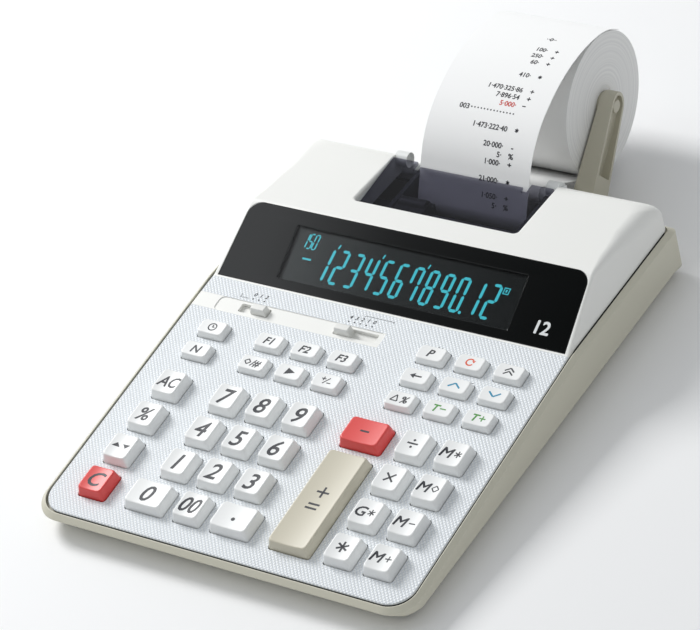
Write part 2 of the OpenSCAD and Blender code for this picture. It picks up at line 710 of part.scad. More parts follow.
module printer_frame() color([0.25, 0.26, 0.3]) on_table() {
    // side plates and base, with bearings for the platen and seats for the rods
    difference() {
        union() {
            block([frame_x0 - plate_t, frame_x0], [frame_y0, frame_y1], [frame_z0, frame_top]);
            block([frame_x1, frame_x1 + plate_t], [frame_y0, frame_y1], [frame_z0, frame_top]);
            block([frame_x0 - plate_t, frame_x1 + plate_t], [frame_y0, frame_y1],
                [frame_z0, frame_z0 + base_t]);
            for (p = FRAME_POSTS) translate([p[0], p[1], floor_z])
                cylinder(h = frame_z0 - floor_z + 0.5, r = boss_r);
        }
        screw_bores(FRAME_POSTS);
        rod_x(frame_x0 - 5, frame_x1 + 5, shaft_r + run_gap, platen_y, platen_z);
        for (z = GUIDE_Z) rod_x(frame_x0 - 5, frame_x1 + 5, shaft_r, guide_y, z);
        rod_x(frame_x0 - 5, frame_x0 + 1, 3.1, motor_y, motor_z);
    }
    for (z = GUIDE_Z) rod_x(frame_x0 - plate_t, frame_x1 + plate_t, shaft_r, guide_y, z);
    // motor, flat against the left side plate, with its boss in the plate and a pinion inside
    rod_x(frame_x0 - plate_t - motor_l, frame_x0 - plate_t, motor_r, motor_y, motor_z);
    rod_x(frame_x0 - plate_t - 0.5, frame_x0 + 0.3, 3, motor_y, motor_z);
}

module platen_roller() on_table() {
    color([0.16, 0.16, 0.17])
        rod_x(paper_x - paper_w / 2 - 1, paper_x + paper_w / 2 + 1, platen_r, platen_y, platen_z);
    color([0.7, 0.7, 0.72])
        rod_x(frame_x0 - plate_t - 1, frame_x1 + plate_t + gear_t, shaft_r, platen_y, platen_z);
    // drive gear outside the right side plate
    color([0.85, 0.84, 0.8]) translate([frame_x1 + plate_t + 0.3, platen_y, platen_z]) rotate([0, 90, 0])
        linear_extrude(gear_t) polygon([for (i = [0:79])
            polar([0, 0], gear_r + (i % 4 < 2 ? 0.8 : -0.4), i * 4.5)]);
}

module print_carriage() color([0.1, 0.11, 0.13]) on_table() difference() {
    union() {
        block([park_x, park_x + carriage_w], [guide_y - 5, guide_y + 5], [15, 37]);
        block([park_x + 3, park_x + carriage_w - 3], [guide_y + 4, head_face], [23, 31]);
        rod_x(park_x + 1, park_x + carriage_w - 1, 3.4, guide_y + 3.2, 35.6);
    }
    for (z = GUIDE_Z) rod_x(park_x - 1, park_x + carriage_w + 1, shaft_r + run_gap, guide_y, z);
}

module paper_roll() on_table() {
    color([0.93, 0.93, 0.92]) difference() {
        rod_x(paper_x - paper_w / 2, paper_x + paper_w / 2, roll_r, roll_y, roll_z);
        rod_x(paper_x - paper_w, paper_x + paper_w, core_r, roll_y, roll_z);
    }
    color([0.6, 0.52, 0.42]) difference() {
        rod_x(paper_x - paper_w / 2 + 0.3, paper_x + paper_w / 2 - 0.3, core_r, roll_y, roll_z);
        rod_x(paper_x - paper_w, paper_x + paper_w, axle_r + run_gap, roll_y, roll_z);
    }
}

module paper_strip() color([0.96, 0.96, 0.95]) on_table()
    bar_x(paper_x - paper_w / 2, paper_x + paper_w / 2) polygon(band(PATH, paper_t));

// Side outline of an arm: a foot on the rear wall, then a taper up to the roll's axis
function arm_outline() = let(
    tip = roll_c, top = arm_low + arm_foot_h,
    up = 38.3, down = 43.5,
    upper = polar(tip, arm_tip_r, 90 + up), lower = polar(tip, arm_tip_r, down - 90),
    knee_top = upper[0] - (upper[1] - top) / tan(up), knee_low = lower[0] - (lower[1] - arm_low) / tan(down))
    concat([[base_rear, arm_low], [knee_low, arm_low]], arc(tip, arm_tip_r, down - 90, 90 + up, 16),
        [[knee_top, top], [rear_y(top), top], [base_rear, rear_foot]]);

module roll_arm() {
    difference() {
        bar_x(arm_x, arm_x + arm_t) polygon(arm_outline());
        // the outer face leans in towards the tip
        translate([arm_x + arm_t, case_d + 20, 0]) rotate([0, 0, atan(arm_taper / (roll_back - 20))])
            translate([0, -5, -1]) cube([20, big, big]);
        // long pocket in the outer face
        bar_x(arm_x + 4.2, arm_x + arm_t + 1) polygon(pocket_outline());
        rod_x(arm_x + 2, arm_x + arm_t, 1.4, roll_y, roll_z);
    }
    rod_x(arm_x + 4, arm_x + 6.2, 3.2, roll_y, roll_z);
    block(tongue_x, [case_d - inset - 2, base_rear + 0.5], tongue_z);
}

// Pocket that follows the rising part of an arm, a rim's width inside its outline
function pocket_outline() = let(d = [cos(41), sin(41)], n = [-d[1], d[0]], r = arm_tip_r - 1.8,
    low = roll_c - d * 34)
    concat([low - n * (r + 1.2), roll_c - n * r], arc(roll_c, r, -49, 131, 12), [low + n * (r + 1.2)]);

module roll_arms() color([0.68, 0.67, 0.6]) on_table() {
    roll_arm();
    mirror([1, 0, 0]) roll_arm();
    // stub axles that carry the roll's core
    rod_x(paper_x + paper_w / 2 - 6, arm_x + 0.5, axle_r, roll_y, roll_z);
    rod_x(-arm_x - 0.5, paper_x - paper_w / 2 + 6, axle_r, roll_y, roll_z);
}

module board_outline() translate([-board_half, board_s0]) square([2 * board_half, board_s1 - board_s0]);

// Housing of a slide switch in plan, grown by g
module switch_plan(s, g) let(x = slot_span(s))
    translate([x[0] - 1 - g, switch_s - 3.6 - g]) square([x[1] - x[0] + 2 + 2 * g, 7.2 + 2 * g]);

module key_mat() color([0.55, 0.57, 0.58]) on_plate() {
    translate([0, 0, board_n]) linear_extrude(mat_t) difference() {
        board_outline();
        for (p = PILLARS) translate(p) circle(pillar_r + 0.3);
        for (s = SWITCHES) switch_plan(s, 0.3);
    }
    for (k = KEYS) translate([k[1][0] - k[2][0] / 2 + 2, k[1][1] - k[2][1] / 2 + 1.5, mat_n - 0.5])
        cube([k[2][0] - 4, k[2][1] - 3, pad_h + 0.5]);
}

module main_board() {
    color([0.2, 0.42, 0.3]) on_plate() translate([0, 0, board_n - board_t]) linear_extrude(board_t)
        difference() {
            board_outline();
            for (p = PILLARS) translate(p) circle(stake_r + 0.1);
        }
    color([0.75, 0.75, 0.77]) on_plate() for (s = SWITCHES) translate([0, 0, board_n])
        linear_extrude(-wall - 2 * slide_gap - slide_t - board_n) switch_plan(s, 0);
    color([0.2, 0.42, 0.3]) on_table() difference() {
        block([jack_x - 14, jack_x + 22], [jack_front - 30, jack_front - 0.4], [power_z, power_z + power_t]);
        for (p = POWER_POSTS) translate([p[0], p[1], 0]) cylinder(h = 20, r = stake_r + 0.1);
    }
    color([0.12, 0.12, 0.13]) on_table() {
        difference() {
            block([jack_x - 4.8, jack_x + 4.8], [jack_front - 12, jack_front - 0.2],
                [power_z + power_t, jack_z + jack_top]);
            translate([jack_x, jack_front + 1, jack_z]) rotate([90, 0, 0])
                cylinder(h = jack_l + 1.2, r = jack_r);
        }
        translate([jack_x - 9.5, jack_front - 16, power_z + power_t]) cylinder(h = 14, r = 4.2);
    }
}

module rubber_feet() color([0.2, 0.2, 0.21]) on_table()
    for (p = FEET) translate([p[0], p[1], 0]) cylinder(h = foot_h + foot_seat, r = foot_r);

module case_screw() difference() {
    union() {
        cylinder(h = screw_head_h, r = screw_head_r);
        cylinder(h = wall + screw_grip - 0.1, r = screw_r);
    }
    for (a = [0, 90]) rotate([0, 0, a]) translate([-1.6, -0.35, -1]) cube([3.2, 0.7, 1.6]);
}

module case_screws() color([0.65, 0.65, 0.67]) on_table()
    for (p = SCREWS) translate([p[0], p[1], foot_h + 0.1]) case_screw();

top_case();
bottom_case();
display_window();
display_module();
printer_cover();
printer_frame();
platen_roller();
print_carriage();
paper_roll();
paper_strip();
roll_arms();
key_mat();
main_board();
rubber_feet();
case_screws();
for (s = SWITCHES) switch_knob(s);
for (k = KEYS) key(k);
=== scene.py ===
"""Looks of the desktop printing calculator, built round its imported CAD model."""
import json
import math
from functools import partial

import bmesh
import bpy
import numpy as np
from mathutils import Matrix, Vector

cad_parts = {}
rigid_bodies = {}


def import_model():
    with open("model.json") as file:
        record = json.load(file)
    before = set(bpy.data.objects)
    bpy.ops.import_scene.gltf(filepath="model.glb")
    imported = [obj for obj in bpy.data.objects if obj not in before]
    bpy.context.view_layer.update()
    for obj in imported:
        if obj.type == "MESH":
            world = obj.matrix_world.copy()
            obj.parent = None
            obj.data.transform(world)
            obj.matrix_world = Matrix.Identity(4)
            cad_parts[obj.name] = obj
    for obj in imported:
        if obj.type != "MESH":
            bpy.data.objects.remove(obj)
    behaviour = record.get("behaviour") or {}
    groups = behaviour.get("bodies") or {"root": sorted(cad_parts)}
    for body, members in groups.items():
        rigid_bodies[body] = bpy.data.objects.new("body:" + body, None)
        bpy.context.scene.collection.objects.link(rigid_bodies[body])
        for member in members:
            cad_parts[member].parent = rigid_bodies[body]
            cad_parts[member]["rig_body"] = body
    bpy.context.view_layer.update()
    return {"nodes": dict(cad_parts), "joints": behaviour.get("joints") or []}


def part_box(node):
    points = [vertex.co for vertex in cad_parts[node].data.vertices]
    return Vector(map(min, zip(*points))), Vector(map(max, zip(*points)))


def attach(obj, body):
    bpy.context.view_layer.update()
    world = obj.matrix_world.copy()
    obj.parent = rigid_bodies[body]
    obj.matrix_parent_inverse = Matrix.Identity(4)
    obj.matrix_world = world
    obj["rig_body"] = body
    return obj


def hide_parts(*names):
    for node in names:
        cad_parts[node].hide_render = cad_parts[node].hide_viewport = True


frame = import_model()
NODES = frame["nodes"]
MM = 0.001

# ---------------------------------------------------------------- sizes
# millimetres, with Y counted from the front edge of the case
CASE_LO, CASE_HI = (np.array(v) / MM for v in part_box("bottom_case"))
Y0 = CASE_LO[1]
HALF = CASE_HI[0]
RIM, GAP, WALL, LAP = 2.5, 0.25, 2.2, 2.0
BEAD_R, BEAD_Z = 3.2, 33.6
SHELL_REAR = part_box("top_case")[1][1] / MM - Y0 - (BEAD_R - WALL / 2)
CASE_D = SHELL_REAR + RIM + GAP
LEAN = CASE_HI[1] - Y0 - CASE_D
CORNER_R, REAR_R = 14.0, 3.0
FOOT_H = 2.0
FLOOR = FOOT_H + WALL
FRONT_H = 12.0


def centre(node):
    lo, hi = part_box(node)
    return (np.array(lo) + np.array(hi)) / 2 / MM


_a, _b = centre("key_clear"), centre("key_clear_all")
TILT = math.atan2(_b[2] - _a[2], _b[1] - _a[1])
SIN, COS, TAN = math.sin(TILT), math.cos(TILT), math.tan(TILT)
PANEL_Y = (CASE_HI[2] - FRONT_H) / TAN
PANEL_Z = CASE_HI[2]
PANEL_TILT = math.radians(28)
PANEL_LEN = 39.8
PANEL_TOP_Y = PANEL_Y + PANEL_LEN * math.cos(PANEL_TILT)
PANEL_TOP_Z = PANEL_Z + PANEL_LEN * math.sin(PANEL_TILT)
DECK_FALL = math.radians(2.3)
SHOWN_GAP = 0.8  # between the plate and the rim, wider than in the solids
SHELL_HALF = HALF - RIM - SHOWN_GAP
SHELL_FRONT = RIM + SHOWN_GAP
DRAFT = 3.2
GLASS_W, GLASS_L, GLASS_LOW = 122.0, 26.8, 5.2
WINDOW_W, WINDOW_TAPER, WINDOW_R, WINDOW_T, WINDOW_IN = 183.4, 3.8, 7.0, 1.4, 0.5
RECESS, RECESS_R, RECESS_L, RECESS_DEEP = 43.3, 2.2, 90.0, 11.0
RECESS_Y = CASE_D - 46.3
CATCH_R, CATCH_L, CATCH_EDGE = 3.6, 6.0, 1.2
COVER_GAP, COVER_FRONT = 0.4, 0.6
KEY_GAP = 0.7
BAND_X, BAND_S, BAND_W, BAND_L, BAND_DEEP = -37.5, 136.3, 89.0, 8.6, 0.4
KNOB_L, SLOT_S, SLOT_W = 8.2, 136.7, 5.2
INK_T = 0.03


# ---------------------------------------------------------------- frames of reference
def table(p):
    """Case millimetres, Y from the front edge, to the row frame in millimetres."""
    p = np.asarray(p, float)
    return p + np.array([0, Y0, 0])


def plate(p):
    """(right, up the plate, out of the plate) to the row frame."""
    p = np.asarray(p, float)
    x, s, n = p[..., 0], p[..., 1], p[..., 2]
    return table(np.stack([x, s * COS - n * SIN, FRONT_H + s * SIN + n * COS], -1))


def unplate(p):
    p = np.asarray(p, float) - np.array([0, Y0, FRONT_H])
    return np.stack([p[..., 0], p[..., 1] * COS + p[..., 2] * SIN, -p[..., 1] * SIN + p[..., 2] * COS], -1)


def sloped(y, z, angle):
    c, s = math.cos(angle), math.sin(angle)

    def to(p):
        p = np.asarray(p, float)
        x, v, n = p[..., 0], p[..., 1], p[..., 2]
        return table(np.stack([x, y + v * c - n * s, z + v * s + n * c], -1))
    return to


panel = sloped(PANEL_Y, PANEL_Z, PANEL_TILT)
deck = sloped(PANEL_TOP_Y, PANEL_TOP_Z, -DECK_FALL)


# ---------------------------------------------------------------- meshes
def make(name, verts, faces, mat=None, body="case", smooth=30, weighted=False):
    """A mesh object from row-frame millimetres."""
    me = bpy.data.meshes.new(name)
    me.from_pydata([tuple(v) for v in np.asarray(verts, float) * MM], [], [tuple(int(i) for i in f) for f in faces])
    o = bpy.data.objects.new(name, me)
    bpy.context.scene.collection.objects.link(o)
    if mat:
        me.materials.append(mat)
    finish_mesh(o, smooth, weighted)
    if body:
        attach(o, body)
    return o


def finish_mesh(o, smooth=30, weighted=False, outward=True):
    bm = bmesh.new()
    bm.from_mesh(o.data)
    if outward:
        bmesh.ops.recalc_face_normals(bm, faces=bm.faces)
    bm.to_mesh(o.data)
    bm.free()
    for p in o.data.polygons:
        p.use_smooth = smooth > 0
    if smooth > 0:
        o.data.set_sharp_from_angle(angle=math.radians(smooth))
    if weighted:
        apply(o, "WEIGHTED_NORMAL", keep_sharp=True, weight=80)


def apply(o, kind, **settings):
    m = o.modifiers.new("m", kind)
    for k, v in settings.items():
        setattr(m, k, v)
    dg = bpy.context.evaluated_depsgraph_get()
    me = bpy.data.meshes.new_from_object(o.evaluated_get(dg))
    o.modifiers.remove(m)
    old = o.data
    o.data = me
    bpy.data.meshes.remove(old)


def join(parts):
    """One vertex and face list out of several."""
    vs, fs, n = [], [], 0
    for v, f in parts:
        v = np.asarray(v, float).reshape(-1, 3)
        vs.append(v)
        fs += [tuple(i + n for i in face) for face in f]
        n += len(v)
    return np.concatenate(vs), fs


def copy_node(node, mat, bevel=0.3, segments=2, name=None, smooth=35, body=None, trim=None):
    """A bevelled copy of a CAD node, which it replaces."""
    o = NODES[node].copy()
    o.data = NODES[node].data.copy()
    o.name = name or node + ".skin"
    o.parent = None
    for k in list(o.keys()):
        del o[k]
    bpy.context.scene.collection.objects.link(o)
    bm = bmesh.new()
    bm.from_mesh(o.data)
    bmesh.ops.remove_doubles(bm, verts=bm.verts, dist=2e-6)
    bmesh.ops.dissolve_limit(bm, angle_limit=math.radians(0.5), verts=bm.verts, edges=bm.edges)
    bm.to_mesh(o.data)
    bm.free()
    o.data.materials.clear()
    o.data.materials.append(mat)
    for p in o.data.polygons:
        p.material_index = 0
    if trim:
        cut(o, trim)
    if bevel:
        apply(o, "BEVEL", width=bevel * MM, segments=segments, limit_method="ANGLE",
              angle_limit=math.radians(40), use_clamp_overlap=True)
    finish_mesh(o, smooth, weighted=True, outward=False)
    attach(o, body or NODES[node]["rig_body"])
    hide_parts(node)
    return o


def rounded(w, l, r, seg=6):
    """Rounded rectangle about 0, counter-clockwise."""
    r = min(r, w / 2 - 1e-4, l / 2 - 1e-4)
    out = []
    for cx, cy, a in ((1, -1, -90), (1, 1, 0), (-1, 1, 90), (-1, -1, 180)):
        for i in range(seg + 1):
            t = math.radians(a + 90 * i / seg)
            out.append((cx * (w / 2 - r) + r * math.cos(t), cy * (l / 2 - r) + r * math.sin(t)))
    return np.array(out)


def tube(loops, close=True):
    """Faces between rings of equal length, with both end rings filled."""
    n, k = len(loops[0]), len(loops)
    v = np.concatenate(loops)
    f = [(i * n + j, i * n + (j + 1) % n, (i + 1) * n + (j + 1) % n, (i + 1) * n + j)
         for i in range(k - 1) for j in range(n)]
    if close:
        f += [tuple(range(n))[::-1], tuple((k - 1) * n + j for j in range(n))]
    return v, f


def fillet(points, radii, seg=5):
    """An open polyline with rounded corners: every corner gives the same number of points."""
    p = [np.array(q, float) for q in points]
    out = [p[0]]
    for i in range(1, len(p) - 1):
        r = radii[i]
        if r <= 0:
            out.append(p[i])
            continue
        a, b = p[i - 1] - p[i], p[i + 1] - p[i]
        la, lb = np.linalg.norm(a) + 1e-12, np.linalg.norm(b) + 1e-12
        a, b = a / la, b / lb
        ang = math.acos(max(-1, min(1, float(a @ b))))
        if ang < 0.02 or ang > 3.12:
            out += [p[i]] * (seg + 1)
            continue
        t = min(r / math.tan(ang / 2), la * 0.49, lb * 0.49)
        for k in range(seg + 1):
            u = k / seg
            out.append((1 - u) ** 2 * (p[i] + a * t) + 2 * u * (1 - u) * p[i] + u * u * (p[i] + b * t))
    out.append(p[-1])
    return np.array(out)


def outline(half, front, rear, r, r0, grow, stations, seg=8):
    """Right half of the plan, front to rear.

    A row is x, y, the way inwards, and how far it turns to the front or rear.
    """
    rows = []
    for i in range(seg + 1):
        t = math.radians(-90 + 90 * i / seg)
        c, d = math.cos(t), math.sin(t)
        rows.append((half - r + r * c, front + r + r * d, -c, -d, d))
    rows += [(half, y, -1.0, 0.0, 0.0) for y in stations
             if front + r + 0.5 < y < rear - r0 - 16 * (1 + grow)]
    for i in range(seg + 1):
        t = math.radians(90 * i / seg)
        c, d = 1 - math.cos(t), 1 - math.sin(t)
        rows.append((half - r0 * c, rear - r0 * d, -1 - grow * c, -1 - grow * d, math.sin(t)))
    return np.array(rows)


def loft(rows, profile):
    """A closed shell round the outline: profile(row) gives (distance inwards, z) from one cap to the other."""
    prof = [profile(r) for r in rows]
    m, k = len(rows), len(prof[0])
    v = np.zeros((2, m, k, 3))
    for i, (x, y, nx, ny, _) in enumerate(rows):
        d, z = prof[i][:, 0], prof[i][:, 1]
        v[0, i] = np.stack([x + d * nx, y + d * ny, z], -1)
    v[1] = v[0] * [-1, 1, 1]
    v = v.reshape(-1, 3)

    def at(side, i, j):
        return (side * m + i) * k + j
    f = []
    for i in range(m - 1):
        for j in range(k - 1):
            f.append((at(0, i, j), at(0, i + 1, j), at(0, i + 1, j + 1), at(0, i, j + 1)))
            f.append((at(1, i, j), at(1, i, j + 1), at(1, i + 1, j + 1), at(1, i + 1, j)))
        for j in (0, k - 1):
            f.append((at(0, i, j), at(0, i + 1, j), at(1, i + 1, j), at(1, i, j)))
    for i in (0, m - 1):
        for j in range(k - 1):
            f.append((at(0, i, j), at(0, i, j + 1), at(1, i, j + 1), at(1, i, j)))
    return v, f


def cutter(shape, to, low, top, flare=0.0, seg=4):
    """A prism on a sloped plane whose mouth opens out in a quarter round."""
    e = np.roll(shape, -1, 0) - np.roll(shape, 1, 0)
    nrm = np.stack([e[:, 1], -e[:, 0]], -1)
    nrm /= np.linalg.norm(nrm, axis=1)[:, None]
    loops = [np.column_stack([shape, np.full(len(shape), low)])]
    if flare:
        for i in range(seg + 1):
            a = math.pi / 2 * i / seg
            depth = np.full(len(shape), -flare * (1 - math.sin(a)))
            loops.append(np.column_stack([shape + nrm * flare * (1 - math.cos(a)), depth]))
    last = loops[-1].copy()
    last[:, 2] = top
    loops.append(last)
    return tube([to(l) for l in loops])


def cut(o, parts):
    v, f = join(parts)
    k = make("cutter", v, f, body=None, smooth=0)
    apply(o, "BOOLEAN", operation="DIFFERENCE", solver="EXACT", object=k)
    bpy.data.objects.remove(k)


def box(x, y, z):
    v = [(a, b, c) for c in z for b in y for a in x]
    return np.array(v, float), [(0, 2, 3, 1), (4, 5, 7, 6), (0, 1, 5, 4), (2, 6, 7, 3), (0, 4, 6, 2), (1, 3, 7, 5)]


def rod(x0, x1, r, y, z, seg=48):
    turn = [math.tau * i / seg for i in range(seg)]
    ring = np.array([(0, y + r * math.cos(a), z + r * math.sin(a)) for a in turn])
    return tube([ring + [x0, 0, 0], ring + [x1, 0, 0]])


# ---------------------------------------------------------------- materials
def material(name, color, rough=0.5, **sockets):
    m = bpy.data.materials.new(name)
    m.use_nodes = True
    b = m.node_tree.nodes["Principled BSDF"]
    b.inputs["Base Color"].default_value = (*color, 1)
    b.inputs["Roughness"].default_value = rough
    for k, v in sockets.items():
        b.inputs[k.replace("_", " ")].default_value = v
    return m


def srgb(r, g, b):
    def lin(c):
        c /= 255
        return c / 12.92 if c <= 0.04045 else ((c + 0.055) / 1.055) ** 2.4
    return lin(r), lin(g), lin(b)


def nodes_of(m):
    return m.node_tree.nodes, m.node_tree.links, m.node_tree.nodes["Principled BSDF"]


def grain(m, scale=2500, strength=0.06, distance=0.00005):
    """Fine moulded texture."""
    ns, ln, b = nodes_of(m)
    tc = ns.new("ShaderNodeTexCoord")
    nz = ns.new("ShaderNodeTexNoise")
    nz.inputs["Scale"].default_value = scale
    nz.inputs["Detail"].default_value = 2
    bp = ns.new("ShaderNodeBump")
    bp.inputs["Strength"].default_value = strength
    bp.inputs["Distance"].default_value = distance
    ln.new(tc.outputs["Object"], nz.inputs["Vector"])
    ln.new(nz.outputs["Fac"], bp.inputs["Height"])
    ln.new(bp.outputs["Normal"], b.inputs["Normal"])
    return m


def math_node(ns, ln, kind, a, b=None):
    n = ns.new("ShaderNodeMath")
    n.operation = kind
    for i, v in enumerate((a, b)):
        if v is None:
            continue
        if isinstance(v, (int, float)):
            n.inputs[i].default_value = v
        else:
            ln.new(v, n.inputs[i])
    return n.outputs[0]


def blend(ns, ln, factor, first, second):
    """Mix of two colours, each a plain colour or a socket."""
    n = ns.new("ShaderNodeMix")
    n.data_type = "RGBA"
    for name, value in (("A", first), ("B", second)):
        socket = next(q for q in n.inputs if q.name == name and q.type == "RGBA")
        if isinstance(value, tuple):
            socket.default_value = (*value, 1)
        else:
            ln.new(value, socket)
    ln.new(factor, n.inputs["Factor"])
    return next(q for q in n.outputs if q.type == "RGBA")


def woven(m, pitch=1.8, depth=0.00018, light=(241, 243, 243), dark=(216, 222, 228), painted_shade=(60, 62, 66)):
    """Fine diamond relief on the key plate only, with painted shade in its hollows, and painted shade on the walls in
    its holes and beside its rim.
    """
    ns, ln, b = nodes_of(m)
    calc, mix = partial(math_node, ns, ln), partial(blend, ns, ln)
    tc = ns.new("ShaderNodeTexCoord")
    xyz = ns.new("ShaderNodeSeparateXYZ")
    ln.new(tc.outputs["Object"], xyz.inputs["Vector"])
    x, y, z = xyz.outputs
    waves = []
    for sign in (1, -1):
        t = calc("MULTIPLY", calc("ADD", x, calc("MULTIPLY", y, sign * 0.8)), math.pi / (pitch * MM))
        waves.append(calc("ABSOLUTE", calc("SINE", t)))
    band = calc("MULTIPLY", calc("LESS_THAN", x, (BAND_X + BAND_W / 2) * MM),
                calc("GREATER_THAN", y, ((BAND_S - BAND_L / 2 - 0.1) * COS + Y0) * MM))
    band = calc("MULTIPLY", band, calc("LESS_THAN", y, ((BAND_S + BAND_L / 2 + 0.1) * COS + Y0) * MM))
    off_band = calc("SUBTRACT", 1.0, band)
    on = calc("MULTIPLY", calc("LESS_THAN", y, (PANEL_Y - 0.6 + Y0) * MM), off_band)
    relief = calc("MULTIPLY", calc("MULTIPLY", *waves), on)
    bump = ns.new("ShaderNodeBump")
    bump.inputs["Strength"].default_value = 1.0
    bump.inputs["Distance"].default_value = depth
    ln.new(relief, bump.inputs["Height"])
    plain = tuple(b.inputs["Base Color"].default_value)[:3]
    # painted shade: the relief's hollows are coloured bluish grey (dark), its tops near white (light)
    plate_with_relief_shade = mix(on, plain, mix(relief, srgb(*dark), srgb(*light)))
    # painted shade: faces more than 0.6 mm below the plate's or panel's face (key holes, slots, the groove beside the
    # rim) are coloured dark grey
    plane = calc("MULTIPLY", calc("SUBTRACT", y, Y0 * MM), TAN)
    plane = calc("MINIMUM", calc("ADD", plane, (FRONT_H - 0.6) * MM), (PANEL_Z - 0.6) * MM)
    below = calc("MULTIPLY", calc("LESS_THAN", z, plane), off_band)
    ln.new(mix(below, plate_with_relief_shade, srgb(*painted_shade)), b.inputs["Base Color"])
    ln.new(b.inputs["Normal"].links[0].from_socket, bump.inputs["Normal"])
    ln.new(bump.outputs["Normal"], b.inputs["Normal"])
    return m


def wound(m, centre_y, centre_z, light, dark):
    """Faint rings of wound paper round the roll's axis."""
    ns, ln, b = nodes_of(m)
    calc = partial(math_node, ns, ln)
    tc = ns.new("ShaderNodeTexCoord")
    xyz = ns.new("ShaderNodeSeparateXYZ")
    ln.new(tc.outputs["Object"], xyz.inputs["Vector"])
    dy = calc("SUBTRACT", xyz.outputs["Y"], centre_y)
    dz = calc("SUBTRACT", xyz.outputs["Z"], centre_z)
    rr = calc("SQRT", calc("ADD", calc("MULTIPLY", dy, dy), calc("MULTIPLY", dz, dz)))
    nz = ns.new("ShaderNodeTexNoise")
    nz.noise_dimensions = "1D"
    nz.inputs["Scale"].default_value = 900
    nz.inputs["Detail"].default_value = 3
    ln.new(rr, nz.inputs["W"])
    ramp = ns.new("ShaderNodeValToRGB")
    for stop, place, colour in zip(ramp.color_ramp.elements, (0.35, 0.65), (dark, light)):
        stop.position, stop.color = place, (*colour, 1)
    ln.new(nz.outputs["Fac"], ramp.inputs["Fac"])
    ln.new(ramp.outputs["Color"], b.inputs["Base Color"])
    return m


# the case white carries painted shade from woven(): bluish grey relief hollows and dark grey walls below the plate's
# face
WHITE = woven(grain(material("case_white", srgb(240, 240, 236), 0.42)))
SMOOTH_WHITE = grain(material("case_white_inside", srgb(228, 230, 228), 0.45))
BASE = grain(material("case_base", srgb(207, 204, 187), 0.45))
ARM = grain(material("arm_plastic", srgb(190, 186, 168), 0.45))
KEY = grain(material("key_white", srgb(243, 244, 243), 0.36), 3000, 0.03)
KEY_RED = grain(material("key_red", srgb(232, 82, 79), 0.36), 3000, 0.03)
KEY_BEIGE = grain(material("key_beige", srgb(210, 204, 185), 0.38), 3000, 0.03)
KNOB = grain(material("knob_white", srgb(232, 232, 228), 0.35))
INK = material("ink_dark", srgb(34, 37, 45), 0.5)
INK_RED = material("ink_orange", srgb(226, 84, 40), 0.5)
INK_BLUE = material("ink_blue", srgb(20, 140, 175), 0.5)
INK_GREEN = material("ink_green", srgb(70, 150, 50), 0.5)
PRINT_BLACK = material("print_black", srgb(40, 40, 46), 0.7)
PRINT_RED = material("print_red", srgb(205, 70, 62), 0.7)
GLOSS_BLACK = material("window_black", srgb(7, 9, 9), 0.06)
LCD = material("display_glass", srgb(11, 13, 14), 0.14)
LCD_ON = material("display_digits", srgb(20, 110, 125), 0.5,
                  Emission_Color=(*srgb(40, 190, 205), 1), Emission_Strength=0.75)
PRINT_WHITE = material("print_white", srgb(225, 228, 228), 0.5)
PAPER = grain(material("paper", srgb(250, 250, 249), 0.8), 1800, 0.05)
ROLL = wound(material("roll_paper", srgb(240, 240, 238), 0.8), *(float(c) * MM for c in centre("paper_roll")[1:]),
             srgb(242, 242, 240), srgb(231, 231, 230))
STEEL = grain(material("printer_frame", srgb(58, 60, 68), 0.45))
DARK = grain(material("carriage_black", srgb(28, 30, 34), 0.4))
RUBBER = grain(material("platen_rubber", srgb(34, 34, 36), 0.75))
FOOT = grain(material("foot_rubber", srgb(38, 38, 40), 0.8))
MAT = grain(material("mat_rubber", srgb(120, 124, 126), 0.7))
BOARD = grain(material("board_green", srgb(30, 84, 50), 0.45))
SCREW = grain(material("screw_steel", srgb(175, 176, 180), 0.3, Metallic=1.0))


def see_through(name, tint, gloss=0.03):
    """Clear or smoked sheet: tinted straight through, shinier where seen at a low angle, alike from both sides."""
    m = bpy.data.materials.new(name)
    m.use_nodes = True
    ns, ln = m.node_tree.nodes, m.node_tree.links
    ns.clear()
    out = ns.new("ShaderNodeOutputMaterial")
    mix = ns.new("ShaderNodeMixShader")
    lw = ns.new("ShaderNodeLayerWeight")
    lw.inputs["Blend"].default_value = 0.5
    calc = partial(math_node, ns, ln)
    rise = calc("POWER", lw.outputs["Facing"], 5.0)
    ln.new(calc("ADD", calc("MULTIPLY", rise, 0.96), 0.03), mix.inputs["Fac"])
    tr = ns.new("ShaderNodeBsdfTransparent")
    tr.inputs["Color"].default_value = (*tint, 1)
    gl = ns.new("ShaderNodeBsdfGlossy")
    gl.inputs["Roughness"].default_value = gloss
    ln.new(tr.outputs["BSDF"], mix.inputs[1])
    ln.new(gl.outputs["BSDF"], mix.inputs[2])
    ln.new(mix.outputs["Shader"], out.inputs["Surface"])
    return m


CLEAR = see_through("window_clear", (0.93, 0.95, 0.95))
SMOKE = see_through("cover_smoke", (0.6, 0.6, 0.65), 0.06)


# ---------------------------------------------------------------- upper half of the case
def seam(y):
    return min(FRONT_H + y * TAN, PANEL_Z)


def top(y):
    """Height of the upper half over the table, with small rounds where the slopes meet."""
    corners = ((PANEL_Y, PANEL_Z, TAN, math.tan(PANEL_TILT), 0.7),
               (PANEL_TOP_Y, PANEL_TOP_Z, math.tan(PANEL_TILT), -math.tan(DECK_FALL), 1.8))
    for yc, zc, m1, m2, b in corners:
        t = y - yc
        if abs(t) < b:
            return zc + m1 * t + (m2 - m1) * (t + b) ** 2 / (4 * b)
    if y < PANEL_Y:
        return FRONT_H + y * TAN
    if y < PANEL_TOP_Y:
        return PANEL_Z + (y - PANEL_Y) * math.tan(PANEL_TILT)
    return PANEL_TOP_Z - (y - PANEL_TOP_Y) * math.tan(DECK_FALL)


def ease(a, b, t):
    t = max(0.0, min(1.0, t))
    t = t * t * (3 - 2 * t)
    return a + (b - a) * t


